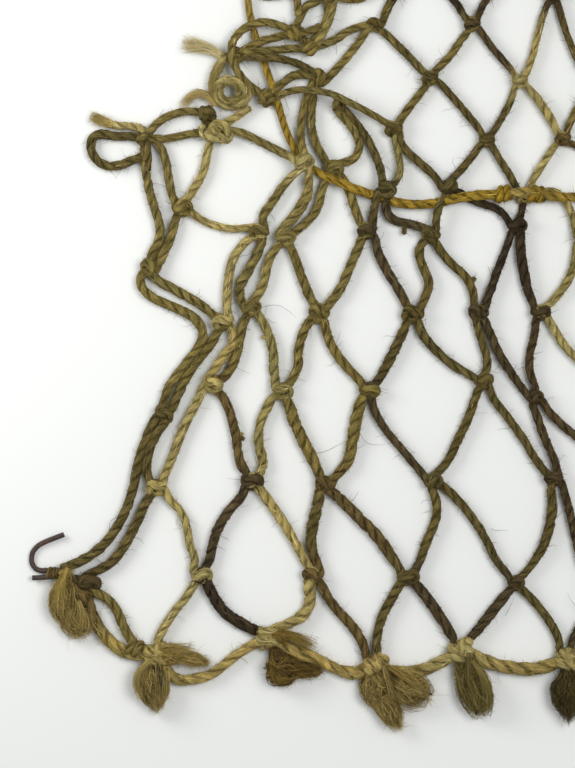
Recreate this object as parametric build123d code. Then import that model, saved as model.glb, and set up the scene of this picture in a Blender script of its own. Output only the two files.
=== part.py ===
"""Hand-knotted jute cast net, spread flat on a surface, with its draw cord and wire hook.

Fifteen mesh twines zigzag up from a tied bottom edge and are knotted to their neighbours in turn.
Frame: +X runs along the bottom edge, +Y runs up the spread net, +Z is up, z = 0 is the surface.
"""
import os
from math import radians, tan

from build123d import *

# ---- driving dimensions, mm ----
PLAN_CENTRE = (135.4, 149.3)    # plan place of the part's origin, the middle of the net's box
THIN_TWINE = 2.7                # a worn stretch of mesh twine
TWINE = 3.2                     # ordinary mesh twine
THICK_TWINE = 3.9               # a stretch that is untwisted and fuller
EDGE_LINE_DIAMETER = 3.6
DRAW_CORD_DIAMETER = 3.2
WIRE_DIAMETER = 1.7
REST_HEIGHT = 2.1               # centre of a twine that lies on the surface and on its knots
KNOT_SIZE = (8.6, 6.8, 5.6)     # width, depth and height of a mesh knot
KNOT_ROUNDING = 1.7
KNOT_GRIP = 2.6                 # how far from a knot's centre its twines begin
HITCH_SIZE = (8.8, 7.6, 6.4)    # the edge line's hitch round two twine ends
CORD_KNOT_SIZE = (6.4, 6.0, 6.6)
BEND_SHARE = 0.45               # share of the shorter run that a bend's arc takes
LEAST_TURN = 0.8                # degrees; a smaller turn is left out of a twine's path

# Knots by name: the number is the row, counted up from the bottom edge, and the letter counts
# from the left. Plan places in mm, x from the left and y from the bottom of the spread net.
KNOTS = {
    "0a": (52, 38), "0b": (91, 44), "0c": (125, 36), "0d": (154, 38), "0e": (189, 38),
    "0f": (222, 37), "0g": (254, 40),
    "1a": (30, 63), "1b": (67, 65.5), "1c": (104, 66), "1d": (136, 65), "1e": (172, 63),
    "1f": (198, 61), "1g": (237, 66),
    "2a": (52, 95), "2b": (84, 97), "2c": (108, 96), "2d": (144, 97), "2e": (184, 98),
    "2f": (209, 98), "2g": (240, 97),
    "3a": (54.8, 119), "3b": (71, 129.5), "3c": (94, 127), "3d": (123, 127), "3e": (161, 130),
    "3f": (178, 125), "3g": (204, 128),
    "4a": (74, 150), "4b": (83.5, 154.5), "4c": (106, 153), "4d": (137, 152.5), "4e": (159, 153),
    "4f": (180, 153), "4g": (215, 153),
    "5a": (50, 168), "5b": (86, 180), "5c": (95, 178), "5d": (122, 180), "5e": (143, 179),
    "5f": (172, 182), "5g": (193.5, 179),
    "6a": (61, 188), "6b": (101, 203, 5.6), "6c": (111, 201), "6d": (128.5, 194, 5.4), "6e": (149, 195),
    "6f": (175, 192), "6g": (210, 197),
    "7a": (48.2, 211), "7b": (71, 213), "7c": (106.5, 231), "7d": (112, 222), "7e": (131, 214),
    "7f": (162, 210.5), "7g": (187, 211),
    "8a": (69, 219), "8b": (88.5, 224), "8c": (78, 238), "8e": (143, 231), "8f": (173, 230),
    "8g": (197, 229),
    "9c": (98, 246), "9d": (103, 241), "9e": (125, 249), "9f": (157, 249), "9g": (184, 258),
    "10c": (109, 259), "10e": (141, 268), "10f": (171, 270), "10g": (197, 266),
    "11e": (126, 283), "11f": (156, 285), "11g": (186, 284),
}

# Each mesh twine from the bottom edge up: its knots by name, and the places where it bends
# between them. A third number is a height; where there is none the twine lies on the surface.
TWINES = {
    "twine_01": [(21, 67.5), (26, 69.8), (32, 73), (37.5, 79), (42, 87), (44.5, 95), (46, 104),
                 (49, 112), "3a", (55.5, 127.5), (60.8, 134.8), (66.5, 141.5), (68, 147), (64, 152),
                 (57, 155), (49, 158.5), (46, 163), "5a", (51, 173), (53.5, 178), (53, 183),
                 (50.5, 190), (49, 197), (47.6, 204.5), "7a"],
    "twine_02": ["0a", (46, 41), (42, 46), (39, 54), (34.5, 59), "1a", (37, 69), (42, 76),
                 (46, 84), (48.5, 90), "2a", (48.5, 100), (49, 106), (52, 113), "3a",
                 (60.8, 129.8), (65, 135.8), (70, 142), "4a", (67, 155.5), (60, 159.5), (53, 163),
                 "5a", (54.5, 173), (57, 178), (58, 183), "6a", (57, 192), (56, 198),
                 (55, 204), (53, 209), "7a"],
    "twine_03": ["0a", (55.5, 50), (60, 55.8), (64, 61), "1b", (65, 71), (63, 75), (62.5, 80),
                 (61, 86), (56, 91), "2a", (57, 104), (61, 115), (66, 124), "3b", (75, 139),
                 (78, 143), (77, 147), "4a", (75.5, 160), (76.5, 168), (79, 174), "5b",
                 (78, 180.5), (70, 182), (65, 185), "6a", (65, 195), (68, 200), (69, 207),
                 "7b", "8a"],
    "twine_04": ["0b", (86, 46.5), (79.6, 49.6), (74, 53.5), (70, 60), "1b", (70, 71), (71, 78),
                 (75, 86), (81, 92), "2b", (80, 102), (79, 107), (78, 115), (75, 124), "3b",
                 (77, 134), (79, 140), (80, 146), "4b", (79, 160), (82, 166), (86, 173), "5b",
                 (87, 185), (91, 190), (94, 195), "6b", (92, 207), (86, 210), (79, 213.5),
                 "7b"],
    "twine_05": ["0b", (97, 49.5), (102, 53), (103.6, 58.5), "1c", (101, 71), (98, 77), (93, 85),
                 (88, 92), "2b", (88, 103), (86, 108), (86, 114), (88, 120), "3c", (91, 134),
                 (91, 140), (89, 147), "4b", (88, 163), (89, 170), "5c", (99, 186),
                 (103, 193), "6b", (100, 209), (100, 216), (101.6, 224), "7c"],
    "twine_06": ["0c", (121, 43), (116, 50), (110, 56), "1c", (103, 75), (104, 83), (106, 90),
                 "2c", (105, 102), (102, 108), (98, 116), "3c", (99.5, 135), (99, 140),
                 (101, 147), "4c", (103, 158), (101, 163), (98.5, 170), "5c", (103, 183.5),
                 (106, 188), (107, 194), "6c", (106, 207), (104, 212), (103.5, 218),
                 (104, 224), "7c", (113, 235), (119, 242), "9e"],
    "twine_07": ["0c", (125, 44), (127, 52), (131, 59), "1d", (130, 72), (126, 78), (120, 84),
                 (114, 90), "2c", (116, 103), (117, 108.5), (118, 115), (119.5, 121.5), "3d",
                 (114, 136), (110, 142), (108, 148), "4c", (113, 160), (116, 167), (119, 174),
                 "5d", (118.5, 186), (117, 191), (115, 196), "6c", (118.5, 204), (120, 209),
                 (117, 215), "7d"],
    "twine_08": ["0d", (151, 44), (147, 51), (142, 58), "1d", (140, 71), (142, 77), (145, 83),
                 (145.5, 90), "2d", (139, 101), (134, 107), (128, 114), (124, 121), "3d",
                 (128, 134), (131, 140), (134, 146), "4d", (133, 160), (129, 166),
                 (125.5, 173), "5d", (124.5, 188), "6d", (126, 202.5), (123, 209.5), (119, 215.5),
                 "7d"],
    "twine_09": ["0d", (158, 46), (165, 55), "1e", (165, 70), (162, 77), (157, 85), (151, 92),
                 "2d", (149, 103), (152, 110), (156, 118), (158, 124), "3e", (151, 135),
                 (145, 140), (140, 146), "4d", (142, 159), (143, 163), (140.5, 168),
                 (139, 173), "5e", (136, 182.5), (130, 183.5), (128, 188), "6d", (133.5, 199),
                 (132.5, 206), "7e", (125, 218, 3.5), (118, 221.5, 6.5), (110, 225.5, 7.5),
                 (101, 227, 5.6), (94, 226, 3.6), "8b"],
    "twine_10": ["0e", (186, 45), (181, 53), "1e", (180, 73), (182.5, 80), (184, 88), "2e",
                 (178, 104), (174, 111), (169, 118), (164, 124), "3e", (162.5, 137),
                 (160, 144), "4e", (157.5, 160), (155, 165), (150, 169), (146, 174), "5e",
                 (145, 186), "6e", (144, 199), (138, 204), (133, 209), "7e", (136, 221),
                 (140, 226), "8e", (137, 237), (131, 243), "9e", (130, 257), (136, 262),
                 "10e", (137, 275), (131, 280), "11e"],
    "twine_11": ["0e", (192, 47.5), (196.5, 54), "1f", (194, 68), (191.6, 76.5), (190, 85), (188, 92),
                 "2e", (184.5, 104), (181.3, 110.5), (178.8, 118), "3f", (172, 130), (167, 137), (163, 146),
                 "4e", (163, 160), (166, 168), (169, 176), "5f", (166, 187.5), (160, 189),
                 (154, 192), "6e", (154, 201), (158, 206), "7f", (157, 217), (151, 224),
                 "8e", (149, 237), (153, 243), "9f", (152, 256), (146, 262), "10e",
                 (145, 275), (150, 280), "11f"],
    "twine_12": ["0f", (217, 45), (206, 55), "1f", (201, 71), (204, 80), (207, 89), "2f", (201, 104),
                 (191, 112), (183, 119), "3f", (176, 133), (176, 139), (178, 146), "4f",
                 (175.5, 160), (174, 167), (173, 175), "5f", "6f", (170, 198), (166, 204),
                 "7f", (166, 216), (170, 223), "8f", (168, 236), (162, 243), "9f",
                 (161, 256), (166, 263), "10f", (168, 277), (162, 281), "11f"],
    "twine_13": ["0f", (226, 46), (232, 57), "1g", (230, 76), (222, 86), "2f", (212, 108),
                 (209, 119), "3g", (196, 134), (188, 141), (184, 148), "4f", (186, 159),
                 (190, 165), (191.5, 172), "5g", (190, 187), (186, 193), (181, 193.5), "6f",
                 (179, 200), (183, 206), "7g", (183, 218), (178, 225), "8f", (177, 237),
                 (179.5, 248), "9g", (178, 263), "10f", (174, 277), (180, 281), "11g"],
    "twine_14": ["0g", (250, 48), (243, 58), "1g", (241, 76), (243, 87), "2g", (232, 106),
                 (218, 118), "3g", (208, 137), (213, 146), "4g", (209, 161), (201, 171), "5g",
                 (200, 184), (206, 190), "6g", (201, 204), (193, 208), "7g", (190, 217),
                 (193, 223), "8g", (191.5, 238), (187.5, 248), "9g", (190, 263), "10g",
                 (196, 274), (192, 279), "11g"],
    "twine_15": ["0g", (259, 52), (259, 68), (253, 83), "2g", (243, 110), (239, 126),
                 (229, 142), "4g", (222, 165), (223, 178), (217, 189), "6g", (212, 208),
                 (206, 219), "8g", (202, 241), (203, 254), "10g", (203, 275), (204, 283)],
}

# Twine that has slipped out of the mesh pattern and lies gathered in the upper left corner.
GATHERED = {
    "gathered_twine_1": [
        ["8a", (63, 220.2), (57.7, 219), (52.4, 216.6), "7a"],
        ["7b", (64, 212.6), (58, 211), (53.5, 210.5), "7a"],
    ],
    "gathered_twine_2": [
        ["9c", (91, 249.3, 5.0), (85, 249, 5.4), (80, 246.5, 4.0), (77.6, 242.5, 3.6), "8c",
         (79, 233.5, 2.4), (82, 229, 2.2), "8b"],
        ["8b", (94, 229.5), (99.5, 233, 2.2), "7c"],
        ["7b", (76, 216.4, 3.0), (79.6, 218.4, 2.6), (83.4, 221.4)],
    ],
    "gathered_twine_3": [
        ["9c", (92, 244, 5.0), (85, 242.5, 5.4), "8c"],
        ["8c", (86, 237.6, 6.0), (93, 237, 6.0), (99, 235.6, 4.6), (103, 233.5, 3.4), "7c"],
        ["9d", (96, 240.5, 3.0), (90, 240.3, 2.4)],
    ],
    "gathered_twine_4": [
        ["9c", (99.5, 251), (101, 256.5), "10c"],
        ["9c", "9d"],
        ["9d", (111, 242.5), (116, 247.5), "9e"],
        ["9d", (107.5, 247), (109.5, 253), "10c"],
        ["10c", (101, 261.5), (93, 258), (87, 258)],
        ["10c", (116, 256.5), (123, 258), (127, 264)],
    ],
}

# The straw-coloured line that ties the mesh ends along the bottom edge.
EDGE_LINE = [(29.5, 56), (31.5, 50), (35.5, 44), (41, 40), (47, 38.5), "0a", (58, 30), (65, 31),
             (71, 32.5), (76, 37), (83, 42), "0b", (97, 40), (105, 38), (112, 34), (119, 32.5),
             "0c", (130, 33), (139, 33), (147, 36), "0d", (160, 34.5), (167, 34), (175, 34),
             (182, 35), "0e", (196, 36), (205, 33.5), (214, 35), "0f", (230, 38), (239, 37),
             (247, 37), "0g"]

# The mustard cord that is threaded through the meshes, from its top end to its side end.
DRAW_CORD = [(88, 277), (84.5, 271), (82, 264), (82.4, 257), (83, 252), (84.6, 246),
             (86.5, 239.5), (88.5, 234), (90.6, 228), (92.5, 222), (94.5, 215), (96.7, 209.5),
             (99, 205.5), (102, 202), (106, 199.3), (111, 197), (116, 194.7), (121, 192.9),
             (127, 190.8), (133, 189), (140, 188.7), (146, 189.5), (152, 190.8), (159, 192),
             (167, 192), (173, 193), (179, 192), (186, 191), (193, 191.3), (200, 191.5),
             (207, 188.5), (213, 184), (219, 180.5)]

# Which stretches are thin (n) or thick (k), in order from the bottom; m is ordinary twine.
STRETCHES = {
    "twine_01": "mmm", "twine_02": "mmmmmmm", "twine_03": "nnmmmnmm", "twine_04": "kmmmmmm",
    "twine_05": "kmmmmkm", "twine_06": "mkkmmmmm", "twine_07": "mkkmmmm", "twine_08": "kmnmmmm",
    "twine_09": "kmmmmmnn", "twine_10": "mkmmmmmmmmm", "twine_11": "mmmmmmmmmmm",
    "twine_12": "mmmmkmmmmmm", "twine_13": "mmmmmmmkmmm", "twine_14": "mmmmmmmmmmm",
    "twine_15": "mmmmmm",
}
DIAMETERS = {"n": THIN_TWINE, "m": TWINE, "k": THICK_TWINE}

# The selvedge loop that stands out at the upper left, from its hinge and back to it.
EAR_LOOP = [(43, 211.6), (38.8, 211.4), (34.6, 212.3), (31.2, 212), (29.9, 208.6), (30.8, 205),
            (33.4, 202.4), (37.2, 201.4), (40.6, 202), (43, 203.3)]
EAR_TAIL = [(43, 215.1), (39.6, 214.9), (36.2, 215.7), (32.4, 217.4)]

# A fuzzy coil of spare twine beside the knots of the upper left corner.
SPARE_COIL = [(76, 239, 2.4), (73.2, 235.5, 2.2), (71.4, 231.5, 2.2), (71.6, 227.3, 2.2),
              (74.4, 224.3, 2.2), (78.6, 223.8, 2.6), (81.6, 225.9, 3.6), (80.9, 229.3, 5.0),
              (77.4, 230.6, 5.4)]

# Bent wire hook: tip, bow, the leg that runs into the lashing, and the cut tail beside it.
HOOK_BOW = [(21.2, 79, 1.6), (18, 77.8, 1.35), (15, 76.6, 1.1), (12.5, 75.3, 0.95),
            (10.5, 72.9, 0.9), (10.3, 69.6, 0.95), (11.8, 67.3, 1.2), (14.6, 66.9, 1.6),
            (17.4, 67.3, 2.0)]
HOOK_TAIL = [(17.4, 65.1, 2.2), (14.2, 64.7, 2.1), (10.7, 64.6, 1.9)]
HOOK_PIVOT = (17.8, 66.2, 2.3)
LASHING_SIZE = (4.2, 4.6)       # length and diameter of the turns that hold the hook's legs
LASHING_ROUNDING = 0.77

# Frayed ends: (centre x, y, height), (half length, half width, half height), turn in plan.
TUFTS = {
    "tuft_1": [((21.2, 56.6, 3.4), (6.6, 4.6, 3.4), 95), ((24.6, 50.6, 3.3), (5.6, 3.9, 3.3), 118)],
    "tuft_2": [((49.6, 26.8, 4.1), (6.8, 5.6, 4.1), 80)],
    "tuft_3": [((94.2, 32.4, 4.2), (5.8, 5.8, 4.2), 0), ((101.5, 32.4, 2.6), (5.2, 2.8, 2.6), -5)],
    "tuft_4": [((124.2, 24.2, 3.6), (6.0, 4.9, 3.6), 110), ((130, 16.6, 2.8), (7.2, 3.4, 2.8), 122),
               ((134, 24.8, 3.7), (8.2, 5.0, 3.7), 154)],
    "tuft_5": [((157, 25.2, 4.0), (8.0, 5.2, 4.0), 112)],
    "tuft_6": [((188.8, 25.6, 4.2), (7.6, 5.7, 4.2), 92)],
    "tuft_7": [((223, 24.6, 4.0), (8.0, 5.4, 4.0), 98)],
    "tuft_8": [((252.8, 27.6, 4.0), (8.0, 5.2, 4.0), 86)],
    "frayed_tail": [((66.4, 242, 2.6), (6.8, 3.0, 2.6), 158)],
    "frayed_bow": [((63.2, 225.2, 2.3), (5.4, 2.4, 2.3), 175)],
}


def place(point, default_height=REST_HEIGHT):
    """A plan point in the part's own frame."""
    x, y = point[0] - PLAN_CENTRE[0], point[1] - PLAN_CENTRE[1]
    return Vector(x, y, point[2] if len(point) > 2 else default_height)


def bend_radii(points):
    """One radius for each inner point: an arc as large as its two runs allow."""
    radii = []
    for before, at, after in zip(points, points[1:], points[2:]):
        run_in = at - before
        run_out = after - at
        half_turn = radians(run_in.get_angle(run_out)) / 2
        radii.append(BEND_SHARE * min(run_in.length, run_out.length) / tan(half_turn))
    return radii


def bends_only(points):
    """The points without any that lie in line with the two beside them."""
    kept = [points[0]]
    for at, after in zip(points[1:], points[2:]):
        if (at - kept[-1]).get_angle(after - at) > LEAST_TURN:
            kept.append(at)
    return kept + [points[-1]]


def tube(name, points, diameter):
    """A round cord along straight runs that tangent arcs join."""
    points = bends_only(points)
    radii = bend_radii(points)
    path = FilletPolyline(*points, radius=radii) if radii else Line(*points)
    section = Plane(origin=path @ 0, z_dir=path % 0) * Circle(diameter / 2)
    if radii:
        print(f"{name}: length {path.length:.1f}, least radius {min(radii):.1f}")
    return sweep(section, path=path)


def lump(size, rounding):
    """A knot pulled tight: a rounded block with a flat underside at z = 0."""
    width, depth, height = size
    block = extrude(SlotOverall(width, depth), height)
    return fillet(block.edges(), rounding)


def ellipsoid(centre, halves, turn):
    """One lobe of frayed fibre that lies on the surface."""
    ball = scale(Sphere(1), by=halves)
    return Pos(*place(centre)) * Rot(0, 0, turn) * ball


def knot_centre(name):
    """Where a knot grips its twines."""
    return place(KNOTS[name])


def from_knot(centre, towards):
    """The place where a twine comes out of a knot's grip."""
    return centre + (towards - centre).normalized() * KNOT_GRIP


def stretches(route):
    """The route cut at its knots, as lists of points with the knot ends pulled out of the grip."""
    parts = []
    current = []
    for stop in route:
        if isinstance(stop, str):
            current.append(knot_centre(stop))
            if len(current) > 1:
                parts.append((current, True))
            current = [knot_centre(stop)]
        else:
            current.append(place(stop))
    if len(current) > 1:
        parts.append((current, False))
    starts_free = not isinstance(route[0], str)
    lines = []
    for number, (points, ends_in_knot) in enumerate(parts):
        points = list(points)
        towards_start = points[1]
        towards_end = points[-2]
        if not (number == 0 and starts_free):
            points[0] = from_knot(points[0], towards_start)
        if ends_in_knot:
            points[-1] = from_knot(points[-1], towards_end)
        lines.append(points)
    return lines


def knots_tied_by(twine):
    """A twine ties the knots that it shares with its neighbour on the right."""
    ties = []
    for stop in TWINES[twine]:
        if not isinstance(stop, str) or stop in EDGE_KNOTS:
            continue
        first = min(name for name, route in TWINES.items() if stop in route)
        if first == twine:
            ties.append(stop)
    return ties


def knot_solids(names):
    """Mesh knots set down where they lie; a knot that rides on the draw cord sits higher."""
    solids = []
    for name in names:
        centre = place(KNOTS[name])
        lift = centre.Z - REST_HEIGHT if len(KNOTS[name]) > 2 else 0
        solids.append(Pos(centre.X, centre.Y, lift) * KNOT)
    return solids


def mesh_twine(name):
    """One twine: its stretches between knots and the knots that it ties."""
    solids = []
    for letter, points in zip(STRETCHES[name], stretches(TWINES[name]), strict=True):
        solids.append(tube(name, points, DIAMETERS[letter]))
    return solids + knot_solids(knots_tied_by(name))


def gathered_twine(name):
    """Slack twine of the upper left corner, with the knots that only it holds."""
    solids = []
    for route in GATHERED[name]:
        solids += [tube(name, points, TWINE) for points in stretches(route)]
    return solids + knot_solids(GATHERED_KNOTS[name])


def edge_line():
    """The line along the bottom edge, from hitch to hitch."""
    return [tube("edge_line", points, EDGE_LINE_DIAMETER) for points in stretches(EDGE_LINE)]


def tuft(lobes):
    """A frayed end: one closed body for each lock of fibre."""
    return [ellipsoid(*lobe) for lobe in lobes]


def wire_hook():
    """The hook's bow and its cut tail, side by side in the lashing."""
    bow = tube("wire_hook", [place(p) for p in HOOK_BOW], WIRE_DIAMETER)
    tail = tube("wire_hook", [place(p) for p in HOOK_TAIL], WIRE_DIAMETER)
    return [bow, tail]


def hook_lashing():
    """Turns of twine round the hook's legs: a barrel about the line that the hook turns on."""
    length, diameter = LASHING_SIZE
    barrel = Cylinder(diameter / 2, length)
    barrel = fillet(barrel.edges(), LASHING_ROUNDING)
    return [Pos(*place(HOOK_PIVOT)) * Rot(0, 90, 0) * barrel]


def cord_knot(plan_place):
    """A hitch or stopper knot in the draw cord."""
    spot = place(plan_place)
    return [Pos(spot.X, spot.Y, 0) * CORD_KNOT]


def write(name, solids):
    """Writes one node."""
    shape = solids[0] if len(solids) == 1 else Compound(children=solids)
    shape.label = name
    export_step(shape, f"parts/{name}.step")


EDGE_KNOTS = [name for name in KNOTS if name.startswith("0")]
GATHERED_KNOTS = {
    "gathered_twine_1": [],
    "gathered_twine_2": ["8b", "8c"],
    "gathered_twine_3": ["9c"],
    "gathered_twine_4": ["9d", "10c"],
}
DRAW_CORD_KNOTS = {
    "draw_cord_hitch_left": (167.5, 192.6),
    "draw_cord_hitch_right": (178.5, 192.2),
    "draw_cord_end_top": (88.6, 279),
    "draw_cord_end_side": (221.5, 179),
}
KNOT = lump(KNOT_SIZE, KNOT_ROUNDING)
HITCH = lump(HITCH_SIZE, KNOT_ROUNDING)
CORD_KNOT = lump(CORD_KNOT_SIZE, KNOT_ROUNDING)

os.makedirs("parts", exist_ok=True)
for twine_name in TWINES:
    write(twine_name, mesh_twine(twine_name))
for twine_name in GATHERED:
    write(twine_name, gathered_twine(twine_name))
write("edge_line", edge_line())
for number, knot_name in enumerate(EDGE_KNOTS, 1):
    hitch_place = place(KNOTS[knot_name])
    write(f"edge_hitch_{number}", [Pos(hitch_place.X, hitch_place.Y, 0) * HITCH])
for tuft_name, tuft_lobes in TUFTS.items():
    write(tuft_name, tuft(tuft_lobes))
write("draw_cord", [tube("draw_cord", [place(p) for p in DRAW_CORD], DRAW_CORD_DIAMETER)])
for cord_knot_name, knot_place in DRAW_CORD_KNOTS.items():
    write(cord_knot_name, cord_knot(knot_place))
write("wire_hook", wire_hook())
write("hook_lashing", hook_lashing())
write("ear_loop", [tube("ear_loop", [place(p) for p in EAR_LOOP], TWINE)])
write("ear_loop_tail", [tube("ear_loop_tail", [place(p) for p in EAR_TAIL], TWINE)])
write("spare_coil", [tube("spare_coil", [place(p) for p in SPARE_COIL], THICK_TWINE)])
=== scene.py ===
from math import cos, pi, radians, sin

import bpy
import numpy as np
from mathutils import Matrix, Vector


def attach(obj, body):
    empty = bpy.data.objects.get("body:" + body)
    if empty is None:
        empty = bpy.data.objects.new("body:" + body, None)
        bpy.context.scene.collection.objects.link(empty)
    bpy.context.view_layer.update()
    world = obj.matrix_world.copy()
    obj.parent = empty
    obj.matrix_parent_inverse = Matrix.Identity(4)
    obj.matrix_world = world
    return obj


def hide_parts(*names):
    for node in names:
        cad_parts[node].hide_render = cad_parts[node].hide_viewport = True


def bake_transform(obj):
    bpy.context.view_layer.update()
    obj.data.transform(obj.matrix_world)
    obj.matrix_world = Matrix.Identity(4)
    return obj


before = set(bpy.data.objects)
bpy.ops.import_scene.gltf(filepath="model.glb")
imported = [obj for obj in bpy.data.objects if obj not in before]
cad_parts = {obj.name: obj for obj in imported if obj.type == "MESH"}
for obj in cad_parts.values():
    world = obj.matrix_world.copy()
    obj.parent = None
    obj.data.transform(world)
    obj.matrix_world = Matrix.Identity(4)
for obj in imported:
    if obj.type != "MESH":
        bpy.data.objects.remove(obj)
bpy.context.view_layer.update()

# The net is described in plan millimetres, as in the part's source: x from the left and y from
# the bottom of the spread net. A third number is a height above the surface; where there is
# none the twine lies on the surface.
MM = 0.001
PLAN_CENTRE = (135.4, 149.3)
REST_HEIGHT = 2.1
KNOT_HEIGHT = 2.6               # where a gathered twine or the edge line meets a knot
LOWEST = 0.12                   # no fibre lies lower than this
rng = np.random.default_rng(4107)

# The camera looks straight down at one place in the plan. Distances are in metres.
VIEW_CENTRE = (95.6, 129.1)
VIEW_HEIGHT = 256.0
VIEW_DISTANCE = 1.1
SENSOR = 36.0
FLOOR_REACH = 1.6

# How thick the cords are.
TWINE_WIDTHS = {"n": 2.7, "m": 3.2, "k": 3.9}
EDGE_LINE_DIAMETER = 3.6
EDGE_LINE_LOOSENESS = 1.12      # the soft edge line is this much wider than it is thick
DRAW_CORD_DIAMETER = 3.2
GATHERED_TWINE = 2.6
SLIMNESS = (0.96, 0.82)         # share of its width that twine keeps low and high in the net
RIGHT_SLIMNESS = 0.88           # and how much of that it keeps at the right
IN_KNOT = 0.92                  # a twine that is pulled tight in a knot is this much thinner

# A strand is two plies that wind about each other. Shares are of the strand's width.
STEP = 0.5                      # distance between the rings of a ply
PLY_SIDES = 12
TWINE_LAY = 9.8                 # length of one full turn of the plies
PLY_OFFSET = 0.205              # from the middle of the strand to the middle of a ply
PLY_HALF_THICKNESS = 0.315
PLY_HALF_WIDTH = 0.42
END_TAPER = 0.9                 # length over which a strand's end rounds off
SHINE = 1.08                    # how much lighter than its tone a ply is on its outside
PAINTED_CREVICE_SHADE = 0.58                  # painted shade between the plies: how much darker a ply is drawn towards its partner
FIBRE_STRETCH = 0.06            # a fibre's streak is this much longer than wide
# What changes along a strand: how much, and over how many mm.
TURN_DRIFT = (1.2, 11)
SWELL = (0.06, 6)
PLY_SWELL = (0.09, 2.4)
OFFSET_DRIFT = (0.03, 9)
COARSE_BUMPS = (0.07, 3.5)
FINE_BUMPS = (0.09, 1.1)
SLOW_SHADE = (0.13, 17)
WARMTH = (0.05, 23)
LONG_BLOTCHES = (0.12, 4.5)
SHORT_BLOTCHES = (0.20, 1.5)
FIBRE_BLOTCHES = (0.28, 1.3)

# Loose fibres.
FUZZ_PER_MM = 6.5               # hairs that stand out of each mm of twine
LYING_PER_MM = 5.0              # fibres that lie along each mm of twine
LONG_HAIRS = 0.022              # share of the hairs that are long
LONG_HAIR_LENGTHS = (3.0, 5.5)
FIBRE_SIDES = 3
TIP_THINNING = 0.72             # share of its width that a fibre has lost at its tip
PALE_FIBRE = 0.35               # how much less yellow the palest loose fibres are
LOCK_RINGS, LOCK_SIDES = 20, 28
LOCK_FIBRES = 560

# sRGB colours of the jute where it catches the light: t tan, l light olive, o olive, g olive
# grown darker, b brown, d dark, v very dark, s straw, y mustard, h dull straw, w warm brown,
# p pale, k light straw, q bleached.
COLOURS = {
    "t": (166, 150, 92), "l": (143, 129, 74), "o": (122, 108, 58), "g": (98, 86, 46),
    "b": (104, 86, 48), "d": (80, 67, 42), "v": (60, 50, 33), "s": (164, 145, 86),
    "y": (148, 121, 36), "h": (160, 139, 74), "w": (140, 115, 56), "p": (196, 178, 128),
    "k": (182, 160, 96), "q": (222, 206, 160),
}

# Knots by name: the number is the row, counted up from the bottom edge, and the letter counts
# from the left.
KNOTS = {
    "0a": (52, 39.4), "0b": (89.4, 44.8), "0c": (125, 36), "0d": (153.2, 40.8), "0e": (189, 38),
    "0f": (222, 37), "0g": (254, 40),
    "1a": (30, 63), "1b": (67, 65.5), "1c": (104, 66), "1d": (136, 65), "1e": (172, 63),
    "1f": (198, 61), "1g": (237, 66),
    "2a": (52, 95), "2b": (84, 97), "2c": (108, 96), "2d": (144, 97), "2e": (184, 98), "2f": (209, 98),
    "2g": (240, 97),
    "3a": (54.8, 119), "3b": (71, 129.5), "3c": (94, 127), "3d": (123, 127), "3e": (161, 130),
    "3f": (178, 125), "3g": (204, 128),
    "4a": (74, 150), "4b": (83.5, 154.5), "4c": (106, 153), "4d": (137, 152.5), "4e": (159, 153),
    "4f": (180, 153), "4g": (215, 153),
    "5a": (50, 168), "5b": (86, 180), "5c": (95, 178), "5d": (122, 180), "5e": (143, 179),
    "5f": (172, 182), "5g": (193.5, 179),
    "6a": (61, 188), "6b": (101, 203, 5.6), "6c": (111, 201), "6d": (128.5, 194, 5.4), "6e": (149, 195),
    "6f": (174.6, 191.6, 1.0), "6g": (210, 197),
    "7a": (48.2, 211), "7b": (71, 213), "7c": (106.5, 231), "7d": (112, 222), "7e": (131, 214),
    "7f": (162, 210.5), "7g": (187, 211),
    "8a": (69, 219), "8b": (88.5, 224), "8c": (78, 238), "8e": (143, 231), "8f": (173, 230),
    "8g": (197, 229),
    "9c": (98, 246), "9d": (103, 241), "9e": (125, 249), "9f": (157, 249), "9g": (184, 258),
    "10c": (109, 259), "10e": (141, 268), "10f": (171, 270), "10g": (197, 266),
    "11e": (126, 283), "11f": (156, 285), "11g": (186, 284),
}

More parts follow.
